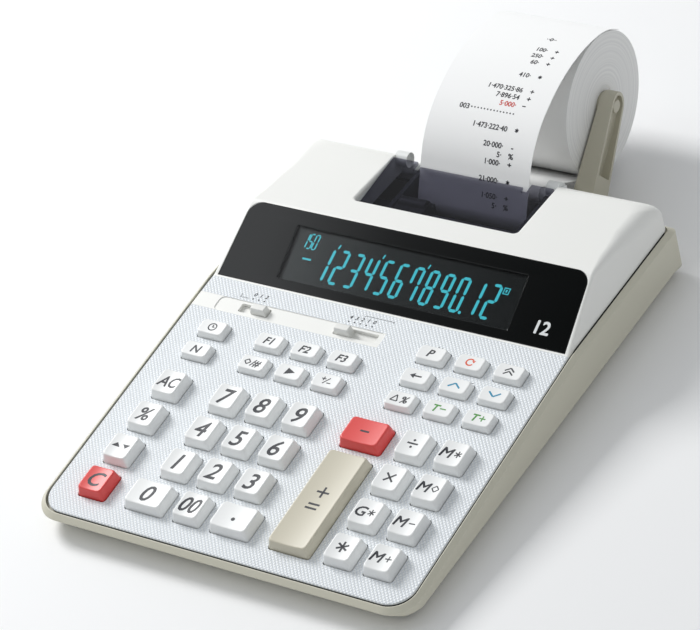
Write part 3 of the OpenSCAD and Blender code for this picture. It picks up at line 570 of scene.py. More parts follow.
def edge_r(y):
    r = ease(0.7, 1.6, (y - 145) / 10)
    r = ease(r, 4.2, (y - PANEL_TOP_Y + 2) / 16)
    return ease(r, 9.0, (y - 200) / 26)


DECK_H = PANEL_TOP_Z - PANEL_Z


def shell_profile(row):
    _, y, _, ny, turn = row
    f = 1 - turn * turn
    s = seam(y)
    r = edge_r(y)
    h = top(y + (12 * ny if ny < 0 else 0)) - s
    d_w = ease(DRAFT, 0.5, (y - 200) / 40) * f * max(0.0, min(1.15, h / DECK_H))
    a0 = math.radians(9.5) * f * max(0.0, min(1.0, (h - r) / 6))

    def side(inset, drop):
        rr = max(r - inset, 0.4)
        t_in = top(y + (d_w + inset + rr) * ny) - drop
        low = min(s, t_in - rr) - 0.02
        pts = [(inset + 0.45, s - LAP), (inset + 0.45, low - 0.5), (inset, low)] if not drop else \
            [(inset, s - LAP), (inset, low - 0.5), (inset, low)]
        wall_top = t_in - rr * (1 - math.sin(a0))
        for u in (0.33, 0.67):
            pts.append((inset + d_w * u, low + (wall_top - low) * u))
        for i in range(9):
            a = a0 + (math.pi / 2 - a0) * i / 8
            d = inset + d_w + rr * (math.cos(a0) - math.cos(a))
            pts.append((d, top(y + d * ny) - drop - rr * (1 - math.sin(a))))
        return pts
    outer = side(0.0, 0.0)
    inner = side(WALL, WALL)
    return np.array(outer[::-1] + inner)


STATIONS = sorted(set([20 + 13 * i for i in range(10)] + [149.8 + 0.3 * i for i in range(9)]
                      + [PANEL_TOP_Y - 2 + 0.4 * i for i in range(11)]
                      + [155, 160, 165, 170, 175, 180] + [191 + 3.5 * i for i in range(14)]))
rows = outline(SHELL_HALF, SHELL_FRONT, SHELL_REAR, CORNER_R - RIM, REAR_R, 0.5, STATIONS, seg=14)
v, f = loft(rows, shell_profile)
shell = make("shell", table(v), f, WHITE, body=None, smooth=0)

KEY_NODES = [n for n in sorted(NODES) if n.startswith("key_") and n != "key_mat"]
KEYS = {}
for n in KEY_NODES:
    co = unplate(np.array([q.co for q in NODES[n].data.vertices]) / MM)
    b = co[np.abs(co[:, 2]) < 0.5]
    w, l = np.ptp(b[:, 0]), np.ptp(b[:, 1])
    mid = (b.max(0) + b.min(0)) / 2
    KEYS[n] = dict(x=mid[0], s=mid[1], w=w, l=l, h=co[:, 2].max())

holes = [cutter(rounded(k["w"] + KEY_GAP, k["l"] + KEY_GAP, 1.5) + [k["x"], k["s"]], plate, -4, 3, 0.35)
         for k in KEYS.values()]


def window_shape(g):
    """The window's outline on the panel, grown by g: square corners below, round ones above."""
    lo, hi = WINDOW_IN - g, PANEL_LEN - WINDOW_IN + g
    w0, w1 = WINDOW_W / 2 + g, (WINDOW_W - WINDOW_TAPER) / 2 + g
    pts = [(-w0, lo), (w0, lo)]
    for cx, a in ((w1 - WINDOW_R, 0), (WINDOW_R - w1, 90)):
        for i in range(13):
            t = math.radians(a + 90 * i / 12)
            pts.append((cx + WINDOW_R * math.cos(t), hi - WINDOW_R + WINDOW_R * math.sin(t)))
    return np.array(pts)


recess_front = RECESS_Y - PANEL_TOP_Y
recess = rounded(2 * RECESS, RECESS_L, RECESS_R, 8) + [0, recess_front + RECESS_L / 2]
cut(shell, holes + [cutter(window_shape(0.15), panel, -WINDOW_T, 6, 0.0),
                    cutter(recess, deck, -RECESS_DEEP, 8, 1.3, 6)])
band = rounded(BAND_W, BAND_L, 2.5) + [BAND_X, BAND_S]
cut(shell, [cutter(band, plate, -BAND_DEEP, 3, 0.3)])
slots = []
for n in ("power_switch", "decimal_switch"):
    j = next(q for q in frame["joints"] if q["child"] == n)
    c = unplate(centre(n))[0]
    lo, hi = (v / MM for v in j["range_m"])
    slot = rounded(hi - lo + KNOB_L + 1.8, SLOT_W, 0.8) + [c + (lo + hi) / 2, SLOT_S]
    slots.append(cutter(slot, plate, -4, 3, 0.2))
glass_mid = [0, GLASS_LOW + GLASS_L / 2]
pins = np.array([q.co for q in NODES["printer_cover"].data.vertices]) / MM
pins = pins[np.abs(pins[:, 0]) > RECESS + 0.3]
pin_y, pin_z = (pins[:, 1:].max(0) + pins[:, 1:].min(0)) / 2 - [Y0, 0]
bore, faces = rod(-RECESS - 3.0, RECESS + 3.0, np.ptp(pins[:, 1]) / 2 + 0.2, pin_y, pin_z)
bore = (table(bore), faces)
cut(shell, slots + [cutter(rounded(GLASS_W + 2, GLASS_L + 2, 1) + glass_mid, panel, -6, 1)])
cut(shell, [bore])
finish_mesh(shell, 28, weighted=True, outward=False)
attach(shell, "case")
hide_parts("top_case")

# the recess's walls, the round lip that the paper enters over, and the catches behind the cover
outer = rounded(2 * (RECESS + WALL), RECESS_L + 2 * WALL, RECESS_R + WALL, 8) + [0, recess_front + RECESS_L / 2]
reach = SHELL_REAR - PANEL_TOP_Y - 1.2


def open_end(loop):
    """The front half of a rounded rectangle, from its rear left to its rear right end."""
    half = [p for p in loop if p[1] < recess_front + 20]
    half.sort(key=lambda p: math.atan2(p[0], recess_front + 30 - p[1]))
    return np.array([(half[0][0], reach)] + half + [(half[-1][0], reach)])


plan = np.concatenate([open_end(recess), open_end(outer)[::-1]])
v, f = tube([deck(np.column_stack([plan, np.full(len(plan), n)])) for n in (0.1 - WALL, -RECESS_DEEP - 0.5)])
walls = make("recess_walls", v, f, SMOOTH_WHITE, body=None, smooth=0)
cut(walls, [bore])
finish_mesh(walls, 30, outward=False)
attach(walls, "case")
bead_y = SHELL_REAR - WALL / 2
v, f = rod(-RECESS - 0.5, RECESS + 0.5, BEAD_R, bead_y, BEAD_Z, 64)
make("paper_lip", table(v), f, SMOOTH_WHITE, smooth=40)
catch_z = PANEL_TOP_Z - (SHELL_REAR - PANEL_TOP_Y) * math.tan(DECK_FALL) - CATCH_R
for side in (-1, 1):
    loops = []
    for i in range(9):
        a = math.pi / 2 * i / 8
        r = CATCH_R - CATCH_EDGE + CATCH_EDGE * math.sin(a)
        x = side * (RECESS - CATCH_L + CATCH_EDGE * (1 - math.cos(math.pi / 2 - a)))
        turn = [math.tau * j / 40 for j in range(40)]
        loops.append(np.array([(x, SHELL_REAR - CATCH_R + r * math.cos(t), catch_z + r * math.sin(t)) for t in turn]))
    last = loops[-1].copy()
    last[:, 0] = side * (RECESS + 0.5)
    v, f = tube(loops + [last])
    name = "cover_catch." + ("left" if side < 0 else "right")
    catch = make(name, table(v), f, SMOOTH_WHITE, body=None, smooth=0)
    v, f = box((-60, 60), (0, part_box("printer_cover")[1][1] / MM - Y0 + 0.6), (0, 80))
    cut(catch, [(table(v), f)])
    finish_mesh(catch, 40, outward=False)
    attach(catch, "case")

# ---------------------------------------------------------------- lower half of the case
def base_profile(row):
    _, y, _, _, turn = row
    s = seam(y)
    b = 5.2 * (1 - turn * turn) + (7.5 if turn < 0 else 0.8) * turn * turn  # bevel: sides, then front or rear
    t = math.sqrt(2)
    ins = RIM + WALL
    pts = [(b + 8, FOOT_H), (b, FOOT_H), (0, FOOT_H + b), (0, s - 2), (RIM - 0.4, s), (RIM, s), (RIM, s - LAP),
           (ins, s - LAP), (ins, max(FOOT_H + b - ins + WALL * t, FLOOR + 0.3)),
           (max(WALL * t + b - WALL, ins + 0.3), FLOOR), (max(b, ins) + 8, FLOOR)]
    return fillet(pts, [0, 1.0, 1.6, 0.9, 0.3, 0.15, 0, 0, 0.5, 0.5, 0], 6)


rows = outline(HALF, 0, CASE_D, CORNER_R, REAR_R, 0.0, [20 + 13 * i for i in range(10)]
               + [150, 151, 152, 165, 180, 195, 210, 225], seg=16)
v, f = loft(rows, base_profile)
lean = np.clip((PANEL_Z - v[:, 2]) / (PANEL_Z - 2.8), 0, 1) * np.clip((v[:, 1] - CASE_D + 14) / 14, 0, 1)
v[:, 1] += LEAN * lean
base = make("base", table(v), f, BASE, body=None, smooth=0)
finish_mesh(base, 28, weighted=True)
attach(base, "case")
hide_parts("bottom_case")

# ---------------------------------------------------------------- display
v, f = cutter(window_shape(0), panel, -WINDOW_T, 0)
window = make("window", v, f, GLOSS_BLACK, body=None, smooth=0)
glass = rounded(GLASS_W, GLASS_L, 0.6) + glass_mid
cut(window, [cutter(glass, panel, -4, 2)])
apply(window, "BEVEL", width=0.25 * MM, segments=2, limit_method="ANGLE", angle_limit=math.radians(50))
finish_mesh(window, 35, weighted=True, outward=False)
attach(window, "case")
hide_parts("display_window")
v, f = cutter(glass, panel, -WINDOW_T, -0.02)
make("window_pane", v, f, CLEAR)
copy_node("display_module", LCD, 0.1)

# ---------------------------------------------------------------- keys
def cap_ring(w, l, r, across=9, seg=6):
    """Rounded rectangle, counter-clockwise from its right side, with the same x above and below."""
    arc = [math.pi / 2 * i / seg for i in range(seg + 1)]
    right = [(w / 2 - r + r * math.cos(a), l / 2 - r + r * math.sin(a)) for a in arc]
    flat = [(x, l / 2) for x in np.linspace(w / 2 - r, r - w / 2, across + 2)[1:-1]]
    upper = right + flat + [(-x, y) for x, y in right[::-1]]
    return np.array(upper + [(x, -y) for x, y in upper[::-1]])


def key_cap(k):
    """Tapered cap with soft edges and a top hollowed from left to right."""
    w, l, h = k["w"], k["l"], k["h"]
    big = h > 4.5
    draft, dish, edge = 0.8 * h / 5.2, 0.5 if big else 0.25, 0.9 if big else 0.7
    side = draft * (h - edge) / h
    steps = [(0, -3.0, 1.2, 0), (0, 0, 1.2, 0), (draft * 0.5, h * 0.5, 1.5, 0), (side, h - edge, 1.8, 0.35)]
    for i in range(1, 7):
        a = math.pi / 2 * i / 6
        steps.append((side + edge * 0.9 * (1 - math.cos(a)), h - edge * (1 - math.sin(a)), 1.8, 0.35 + 0.65 * i / 6))
    k["dish"], k["xt"] = dish, w / 2 - steps[-1][0]
    loops = []
    for inset, n, r, share in steps:
        p = cap_ring(w - 2 * inset, l - 2 * inset, r)
        hollow = dish * share * np.maximum(0, 1 - (p[:, 0] / k["xt"]) ** 2)
        loops.append(np.column_stack([p, n - hollow]))
    v, f = tube([plate(lp + [k["x"], k["s"], 0]) for lp in loops])
    count = len(loops[0])
    f, first = f[:-1], (len(loops) - 1) * count
    f += [(first + i, first + i + 1, first + count - 2 - i, first + count - 1 - i) for i in range(count // 2 - 1)]
    return v, f


for n, k in KEYS.items():
    mat = KEY_RED if n in ("key_clear", "key_minus") else KEY_BEIGE if n == "key_plus_equals" else KEY
    v, f = key_cap(k)
    o = make(n + ".cap", v, f, mat, body=n, smooth=60, weighted=True)
    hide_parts(n)

for n in ("power_switch", "decimal_switch"):
    copy_node(n, KNOB, 0.35, 3)

# ---------------------------------------------------------------- printer, paper and small parts
corners = []
for side in (-1, 1):
    x, y, r = RECESS - COVER_GAP, RECESS_Y + COVER_FRONT, RECESS_R
    turn = [math.pi / 2 * i / 8 for i in range(9)]
    bend = [(side * (x - r + r * math.sin(a)), y + r - r * math.cos(a)) for a in turn]
    shape = np.array([(side * (x + 0.3), y + r), (side * (x + 0.3), y - 1), (side * (x - r), y - 1)] + bend)
    corners.append(cutter(shape, table, 30, 60))
copy_node("printer_cover", SMOKE, 0.3, 2, trim=corners)
copy_node("printer_frame", STEEL, 0.3)
copy_node("platen_roller", RUBBER, 0.2)
copy_node("print_carriage", DARK, 0.6, 3)
copy_node("paper_roll", ROLL, 0.3)
copy_node("paper_strip", PAPER, 0)
copy_node("roll_arms", ARM, 0.5, 3)
copy_node("key_mat", MAT, 0)
copy_node("main_board", BOARD, 0)
copy_node("rubber_feet", FOOT, 0.3)
copy_node("case_screws", SCREW, 0.15)

# ---------------------------------------------------------------- printed marks, all solid
def prism(shape):
    p = np.asarray(shape, float)
    n = len(p)
    v = np.concatenate([np.column_stack([p, np.full(n, -INK_T)]), np.column_stack([p, np.full(n, INK_T)])])
    f = [tuple(range(n))[::-1], tuple(range(n, 2 * n))]
    return v, f + [(i, (i + 1) % n, n + (i + 1) % n, n + i) for i in range(n)]


def bar(p, q, w=0.7):
    """A straight stroke with square ends."""
    p, q = np.array(p, float), np.array(q, float)
    d = (q - p) / np.linalg.norm(q - p)
    n = np.array([-d[1], d[0]]) * w / 2
    return prism([p - n, q - n, q + n, p + n])


def dot(c, r, seg=20):
    turn = [math.tau * i / seg for i in range(seg)]
    return prism([(c[0] + r * math.cos(a), c[1] + r * math.sin(a)) for a in turn])


def band_arc(c, r, a0, a1, w=0.6, seg=16):
    """Part of a ring, from angle a0 to a1 in degrees."""
    t = np.radians(np.linspace(a0, a1, seg + 1))
    inn, out = ([(c[0] + q * math.cos(a), c[1] + q * math.sin(a)) for a in t] for q in (r - w / 2, r + w / 2))
    return [prism([inn[i], out[i], out[i + 1], inn[i + 1]]) for i in range(seg)]


def words(text, size, at=(0, 0), slant=0.2, wide=1.0, bold=0.0, anchor=0):
    """Letters of the given height; anchor -1, 0 or 1 puts their left edge, middle or right edge at the place."""
    cu = bpy.data.curves.new("words", "FONT")
    cu.body, cu.size, cu.extrude, cu.resolution_u = text, size / 0.729, INK_T, 3
    ob = bpy.data.objects.new("words", cu)
    bpy.context.scene.collection.objects.link(ob)
    me = bpy.data.meshes.new_from_object(ob.evaluated_get(bpy.context.evaluated_depsgraph_get()))
    v = np.array([q.co for q in me.vertices], float).reshape(-1, 3)
    f = [tuple(q.vertices) for q in me.polygons]
    bpy.data.objects.remove(ob)
    bpy.data.curves.remove(cu)
    bpy.data.meshes.remove(me)
    v[:, 0] = v[:, 0] * wide
    mid = {-1: v[:, 0].min(), 0: (v[:, 0].min() + v[:, 0].max()) / 2, 1: v[:, 0].max()}[anchor]
    v[:, 1] -= size / 2
    v[:, 0] += slant * v[:, 1] + at[0] - mid
    v[:, 1] += at[1]
    if not bold:
        return v, f
    shifts = ((0, 0), (1, 0), (-1, 0), (0, 1), (0, -1), (0.7, 0.7), (-0.7, 0.7), (0.7, -0.7), (-0.7, -0.7))
    return join([(v + [bold * a, bold * b, 0.002 * i], f) for i, (a, b) in enumerate(shifts)])


def ink(name, parts, to, mat, body="case", step=0.0):
    """Marks drawn flat as (right, up, out) and laid on a surface by to; step cuts them up to follow a hollow."""
    v, f = join(parts)
    bm = bmesh.new()
    vs = [bm.verts.new(q) for q in v]
    for face in f:
        try:
            bm.faces.new([vs[i] for i in face])
        except ValueError:
            pass
    bmesh.ops.remove_doubles(bm, verts=bm.verts, dist=1e-4)
    if step:
        lo, hi = v[:, 0].min(), v[:, 0].max()
        for x in np.arange(math.ceil(lo / step) * step, hi, step):
            bmesh.ops.bisect_plane(bm, geom=bm.verts[:] + bm.edges[:] + bm.faces[:],
                                   plane_co=(x, 0, 0), plane_no=(1, 0, 0))
    co = np.array([q.co for q in bm.verts])
    for q, c in zip(bm.verts, to(co) * MM):
        q.co = c
    bmesh.ops.recalc_face_normals(bm, faces=bm.faces)
    me = bpy.data.meshes.new(name)
    bm.to_mesh(me)
    bm.free()
    me.materials.append(mat)
    o = bpy.data.objects.new(name, me)
    bpy.context.scene.collection.objects.link(o)
    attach(o, body)
    return o


# ---------------------------------------------------------------- signs on the keys
def plus(u, v, r, w):
    return [bar((u - r, v), (u + r, v), w), bar((u, v - r), (u, v + r), w)]


def minus(u, v, r, w):
    return [bar((u - r, v), (u + r, v), w)]


def times(u, v, r, w):
    return [bar((u - r, v - r), (u + r, v + r), w), bar((u - r, v + r), (u + r, v - r), w)]


def divide(u, v, r, w):
    return minus(u, v, r, w) + [dot((u, v + 0.75 * r), w * 0.72), dot((u, v - 0.75 * r), w * 0.72)]


def star(u, v, r, w):
    return [bar((u - r * math.cos(a), v - r * math.sin(a)), (u + r * math.cos(a), v + r * math.sin(a)), w)
            for a in (math.radians(30), math.radians(90), math.radians(150))]


def loop_line(points, w):
    return [bar(points[i], points[(i + 1) % len(points)], w) for i in range(len(points))]


def diamond(u, v, r, w):
    return loop_line([(u - r, v), (u, v - r), (u + r, v), (u, v + r)], w)


def chevron(u, v, r, w, way):
    rise = way * r * 0.42
    return [bar((u - r, v - rise), (u, v + rise), w), bar((u, v + rise), (u + r, v - rise), w)]


def arrow_left(u, v, r, w):
    head = [(u - r, v), (u - r * 0.2, v - r * 0.5), (u - r * 0.2, v + r * 0.5)]
    return [bar((u - r * 0.4, v), (u + r, v), w), prism(head)]


def again(u, v, r, w):
    """A round arrow."""
    tip = (u + r * math.cos(0.6), v + r * math.sin(0.6))
    head = [(tip[0] - 0.9, tip[1] - 0.1), (tip[0] + 0.9, tip[1] + 0.2), (tip[0] + 0.35, tip[1] - 1.15)]
    return band_arc((u, v), r, 45, 330, w) + [prism(head)]


def clock(u, v, r, w):
    hands = [bar((u, v - w / 2), (u, v + r * 0.65), w * 0.9), bar((u, v), (u + r * 0.5, v), w * 0.9)]
    return band_arc((u, v), r, 0, 360, w, 28) + hands


def solid_up(u, v, r, way):
    return [prism([(u - r, v - way * r * 0.5), (u + r, v - way * r * 0.5), (u, v + way * r * 0.6)])]


def big(text, at=(0, 0), size=9.0, wide=0.96):
    return [words(text, size, at, wide=wide, bold=0.17)]


def word(text, at=(0, 0), size=4.0, wide=1.0):
    return [words(text, size, at, wide=wide, bold=0.13)]


SIGNS = {"key_%d" % d: (INK, big(str(d))) for d in range(10)}
SIGNS |= {
    "key_00": (INK, big("00", size=8.4, wide=0.82)),
    "key_point": (INK, [dot((0.2, -1.3), 0.95)]),
    "key_plus_equals": (INK, plus(0.3, 3.8, 3.0, 1.0) + minus(-0.1, -3.2, 2.8, 1.0) + minus(-0.5, -5.6, 2.8, 1.0)),
    "key_minus": (INK, minus(0, 0, 2.2, 0.95)),
    "key_multiply": (INK, times(0, 0, 2.2, 0.85)),
    "key_divide": (INK, divide(0, 0, 2.6, 0.85)),
    "key_total": (INK, star(0, 0, 2.9, 0.95)),
    "key_grand_total": (INK, word("G", (-2.4, 0), 5.4) + star(2.6, 0, 1.8, 0.62)),
    "key_memory_plus": (INK, word("M", (-2.4, 0), 5.4) + plus(2.9, 0, 1.6, 0.62)),
    "key_memory_minus": (INK, word("M", (-2.4, 0), 5.4) + minus(2.9, 0, 1.5, 0.62)),
    "key_memory_subtotal": (INK, word("M", (-2.4, 0), 5.4) + diamond(2.9, 0, 1.7, 0.55)),
    "key_memory_total": (INK, word("M", (-2.4, 0), 5.4) + star(2.9, 0, 1.8, 0.62)),
    "key_clear": (INK, big("C", size=8.0)),
    "key_clear_all": (INK, word("AC", (0.3, 0), 6.3, 0.82)),
    "key_percent": (INK, big("%", size=7.6, wide=0.9)),
    "key_markup": (INK, solid_up(-2.5, 0.2, 2.1, 1) + solid_up(2.6, 0.1, 2.1, -1)),
    "key_item": (INK, word("N", size=4.4)),
    "key_time": (INK, clock(0, 0, 2.0, 0.6)),
    "key_non_add": (INK, diamond(-2.9, 0, 1.5, 0.55) + word("/#", (1.6, 0), 3.8)),
    "key_backspace": (INK, [prism([(-2.2, -2.0), (2.8, 0), (-1.4, 2.0)])]),
    "key_sign": (INK, plus(-1.6, 0.9, 1.1, 0.5) + [bar((-1.2, -1.8), (1.4, 1.8), 0.5)] + minus(1.7, -1.2, 1.0, 0.5)),
    "key_cost": (INK, word("F1", size=4.1)),
    "key_sell": (INK, word("F2", size=4.1)),
    "key_margin": (INK, word("F3", size=4.1)),
    "key_delta_percent": (INK, loop_line([(-4.4, -1.6), (-0.9, -1.6), (-2.2, 1.8)], 0.55)
                          + word("%", (2.4, 0), 3.9)),
    "key_tax_minus": (INK_GREEN, word("T", (-1.6, 0), 4.0) + minus(2.0, 0, 1.5, 0.6)),
    "key_tax_plus": (INK_GREEN, word("T", (-1.6, 0), 4.0) + plus(2.0, 0, 1.5, 0.6)),
    "key_correct": (INK, arrow_left(0, 0, 3.0, 0.75)),
    "key_check_up": (INK_BLUE, chevron(0, 0, 2.9, 0.8, 1)),
    "key_check_down": (INK_BLUE, chevron(0, 0, 2.9, 0.8, -1)),
    "key_print": (INK, word("P", size=4.2)),
    "key_reprint": (INK_RED, again(0, 0, 1.8, 0.7)),
    "key_feed": (INK, chevron(0, 1.0, 2.3, 0.65, 1) + chevron(0, -0.9, 2.3, 0.65, 1)),
}


def on_key(k):
    def to(p):
        hollow = k["dish"] * np.maximum(0, 1 - (p[:, 0] / k["xt"]) ** 2)
        up = k["h"] - hollow + 0.012
        return plate(p + np.column_stack([np.full(len(p), k["x"]), np.full(len(p), k["s"]), up]))
    return to


for n, (colour, marks) in SIGNS.items():
    ink(n + ".sign", marks, on_key(KEYS[n]), colour, n, 0.8)

# ---------------------------------------------------------------- marks on the plate
def on_plate(n):
    return lambda p: plate(p + [0, 0, n])


def row_of(name, unit, count, first, step, mat, to, body="case"):
    """Copies of one flat mark along a straight line, made with Geometry Nodes."""
    v, f = unit
    me = bpy.data.meshes.new(name)
    me.from_pydata([tuple(q) for q in v], [], f)
    src = bpy.data.objects.new(name + ".unit", me)
    bpy.context.scene.collection.objects.link(src)
    host = bpy.data.objects.new(name, bpy.data.meshes.new(name + ".host"))
    bpy.context.scene.collection.objects.link(host)
    tree = bpy.data.node_groups.new(name, "GeometryNodeTree")
    face = tree.interface
    face.new_socket("Geometry", in_out="INPUT", socket_type="NodeSocketGeometry")
    ids = {}
    inputs = (("Unit", "Object"), ("Count", "Int"), ("First", "Vector"), ("Step", "Vector"), ("Finish", "Material"))
    for label, kind in inputs:
        ids[label] = face.new_socket(label, in_out="INPUT", socket_type="NodeSocket" + kind).identifier
    face.new_socket("Geometry", in_out="OUTPUT", socket_type="NodeSocketGeometry")
    start, end, line, info, place, real, finish = (tree.nodes.new(kind) for kind in (
        "NodeGroupInput", "NodeGroupOutput", "GeometryNodeMeshLine", "GeometryNodeObjectInfo",
        "GeometryNodeInstanceOnPoints", "GeometryNodeRealizeInstances", "GeometryNodeSetMaterial"))
    for a, out, b, into in ((start, "Count", line, "Count"), (start, "First", line, "Start Location"),
                            (start, "Step", line, "Offset"), (start, "Unit", info, "Object"),
                            (line, "Mesh", place, "Points"), (info, "Geometry", place, "Instance"),
                            (place, "Instances", real, "Geometry"), (real, "Geometry", finish, "Geometry"),
                            (start, "Finish", finish, "Material"), (finish, "Geometry", end, "Geometry")):
        tree.links.new(a.outputs[out], b.inputs[into])
    m = host.modifiers.new("row", "NODES")
    m.node_group = tree
    for label, value in (("Unit", src), ("Count", count), ("First", first), ("Step", step), ("Finish", mat)):
        m[ids[label]] = value
    me = bpy.data.meshes.new_from_object(host.evaluated_get(bpy.context.evaluated_depsgraph_get()))
    host.modifiers.clear()
    co = np.array([q.co for q in me.vertices])
    for q, c in zip(me.vertices, to(co) * MM):
        q.co = c
    host.data = me
    bpy.data.objects.remove(src)
    finish_mesh(host, 0)
    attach(host, body)
    return host


DOT_STEP, DOT_S, NUMBER_S, LINE_W = 3.1, 142.8, 145.6, 0.22
labels = []
for name, x, numbers in (("power_dots", -66.2, "012"), ("decimal_dots", -14.2, "43210")):
    row_of(name, dot((0, 0), 0.42, 14), len(numbers), (x, DOT_S, 0.0), (DOT_STEP, 0, 0), INK, on_plate(0.01))
    labels += [words(t, 2.1, (x + DOT_STEP * i, NUMBER_S), bold=0.05) for i, t in enumerate(numbers)]
up, down, k = KEYS["key_check_up"], KEYS["key_check_down"], KEYS["key_print"]
line_s = up["s"] + up["l"] / 2 + 1.3
labels += [bar(a, b, LINE_W) for a, b in (
    ((-8.0, 148.0), (7.0, 148.0)), ((-8.0, 148.0), (-8.0, 147.1)), ((7.0, 148.0), (7.0, 147.1)),
    ((-73.0, 142.6), (-68.4, 142.6)), ((-73.0, 142.6), (-73.0, 144.6)),
    ((up["x"] - 2, line_s), (up["x"] + 5.6, line_s)), ((down["x"] - 5.6, line_s), (down["x"] + 2, line_s)))]
labels += [words("0 1", 1.7, (k["x"], k["s"] + k["l"] / 2 + 1.7))]
ink("plate_marks", labels, on_plate(0.01), INK)

# ---------------------------------------------------------------- display
GLASS_N = -WALL + 0.03
STROKES = {"a": (0, 1, 1, 1), "b": (1, 1, 1, 0.5), "c": (1, 0.5, 1, 0), "d": (0, 0, 1, 0),
           "e": (0, 0.5, 0, 0), "f": (0, 1, 0, 0.5), "g": (0, 0.5, 1, 0.5)}
LIT = dict(zip("0123456789", "abcdef bc abged abgcd fgbc afgcd afgedc fabc abcdefg abcdfg".split()))


def segments(char, x, v, w, h, t, slant=0.085):
    """Lit bars of one digit: six-sided, with fine gaps between them."""
    out = []
    for name in LIT[char]:
        x0, y0, x1, y1 = STROKES[name]
        p, q = np.array([x + x0 * w, v + y0 * h]), np.array([x + x1 * w, v + y1 * h])
        d = (q - p) / np.linalg.norm(q - p)
        n = np.array([-d[1], d[0]])
        p, q = p + d * 0.14, q - d * 0.14
        shape = np.array([p, p + (d - n) * t / 2, q - (d + n) * t / 2, q, q - (d - n) * t / 2, p + (d + n) * t / 2])
        shape[:, 0] += slant * (shape[:, 1] - v)
        out.append(prism(shape))
    return out


def on_panel(n):
    return lambda p: panel(p + [0, 0, n])


DIGIT_X, DIGIT_STEP, DIGIT_V = -43.7, 8.0, 8.9
lit = []
for i, c in enumerate("123456789012"):
    lit += segments(c, DIGIT_X + DIGIT_STEP * i, DIGIT_V, 4.0, 16.0, 1.4)
for i in (0, 3, 6):
    x = DIGIT_X + 0.1 + DIGIT_STEP * i
    lit += [bar((x + 7.0, 27.6), (x + 6.4, 25.6), 0.7)]
lit += [dot((34.0, DIGIT_V), 0.75, 12), bar((-53.4, 17.6), (-48.8, 17.6), 0.9)]
for i, c in enumerate("150"):
    lit += segments(c, -56.6 + 2.75 * i, 22.7, 1.95, 7.2, 0.62)
lit += [bar((50.8, 21.8), (53.8, 21.8), 0.45), bar((51.1, 24.6), (54.1, 24.6), 0.45),
        bar((51.0, 21.8), (51.3, 24.6), 0.45), bar((53.6, 21.8), (53.9, 24.6), 0.45),
        bar((52.3, 22.6), (52.5, 23.9), 0.8)]
ink("display_digits", lit, on_panel(GLASS_N), LCD_ON)
ink("window_number", [words("12", 6.4, (77.2, 9.9), slant=0.06, bold=0.22)], on_panel(0.0), PRINT_WHITE)

# ---------------------------------------------------------------- printing on the paper strip
def strip_path():
    """The printed side of the strip from its free end to the roll, as (Y, Z) in row-frame millimetres."""
    me = NODES["paper_strip"].data
    co = np.array([q.co for q in me.vertices]) / MM
    side = [p for p in me.polygons if p.normal.x > 0.9]
    key = {i: tuple(np.round(co[i], 3)) for p in side for i in p.vertices}
    seen = {}
    for p in side:
        ring = [key[i] for i in p.vertices]
        for a, b in zip(ring, ring[1:] + ring[:1]):
            if (b, a) in seen:
                del seen[(b, a)]
            else:
                seen[(a, b)] = 1
    following = {a: b for a, b in seen}
    start = next(iter(following))
    loop = [start]
    while following[loop[-1]] != start:
        loop.append(following[loop[-1]])
    pts = np.array(loop)[:, 1:]
    gaps = np.linalg.norm(np.roll(pts, -1, 0) - pts, axis=1)
    ends = [i for i in range(len(pts)) if abs(gaps[i] - STRIP_T) < 0.02]
    a, b = ends[0], ends[-1]
    chains = [pts[a + 1:b + 1], np.concatenate([pts[b + 1:], pts[:a + 1]])]
    chains = [c if c[0][1] > c[-1][1] else c[::-1] for c in chains]
    return max(chains, key=lambda c: c[0][1])


STRIP_T = 0.3
path = strip_path()
along = np.concatenate([[0], np.cumsum(np.linalg.norm(np.diff(path, axis=0), axis=1))])


def on_strip(p):
    """(right, up the strip, out), with up counted back from the free end."""
    s = -p[:, 1]
    y, z = np.interp(s, along, path[:, 0]), np.interp(s, along, path[:, 1])
    y2, z2 = np.interp(s + 0.8, along, path[:, 0]), np.interp(s + 0.8, along, path[:, 1])
    y1, z1 = np.interp(s - 0.8, along, path[:, 0]), np.interp(s - 0.8, along, path[:, 1])
    d = np.stack([y2 - y1, z2 - z1], -1)
    d /= np.linalg.norm(d, axis=1)[:, None]
    out = p[:, 2] + 0.02
    return np.stack([p[:, 0], y + d[:, 1] * out, z - d[:, 0] * out], -1)


ROWS = ((30.4, "..0..", ""), (39.0, "100.", "+"), (43.5, "250.", "+"), (47.8, "60.", "+"), (56.3, "410.", "*"),
        (64.9, "1.470.325.86", "+"), (68.9, "7.896.54", "+"), (85.1, "1.473.222.40", "*"), (93.1, "20.000.", "-"),
        (97.2, "5.", "%"), (101.1, "1.000.", "+"), (109.3, "21.000.", "*"), (116.8, "1.050.", "+"), (121.0, "5.", "%"))
NUMBER_X, SIGN_X, TAPE_H = 14.8, 19.8, 2.6


def tape_words(text, s, x=NUMBER_X, wide=0.98, bold=0.07, anchor=1):
    """Upright print, with the tape's raised points."""
    return words(text.replace(".", "\u00b7"), TAPE_H, (x, -s), slant=0.0, wide=wide, bold=bold, anchor=anchor)


black = []
for s, number, sign in ROWS:
    black.append(tape_words(number, s))
    if sign == "*":
        black += star(SIGN_X, -s, 1.0, 0.5)
    elif sign:
        black.append(tape_words(sign, s, SIGN_X, 1.1, 0.1, 0))
black.append(tape_words("003", 77.6, -10.6, 1.0, anchor=0))
black += minus(19.0, -73.0, 0.9, 0.5)
ink("tape_print", black, on_strip, PRINT_BLACK)
ink("tape_print_red", [tape_words("5.000.", 73.0)], on_strip, PRINT_RED)
row_of("tape_dots", dot((0, 0), 0.4, 8), 14, (-6.8, -77.6, 0.0), (1.7, 0, 0), PRINT_BLACK, on_strip)

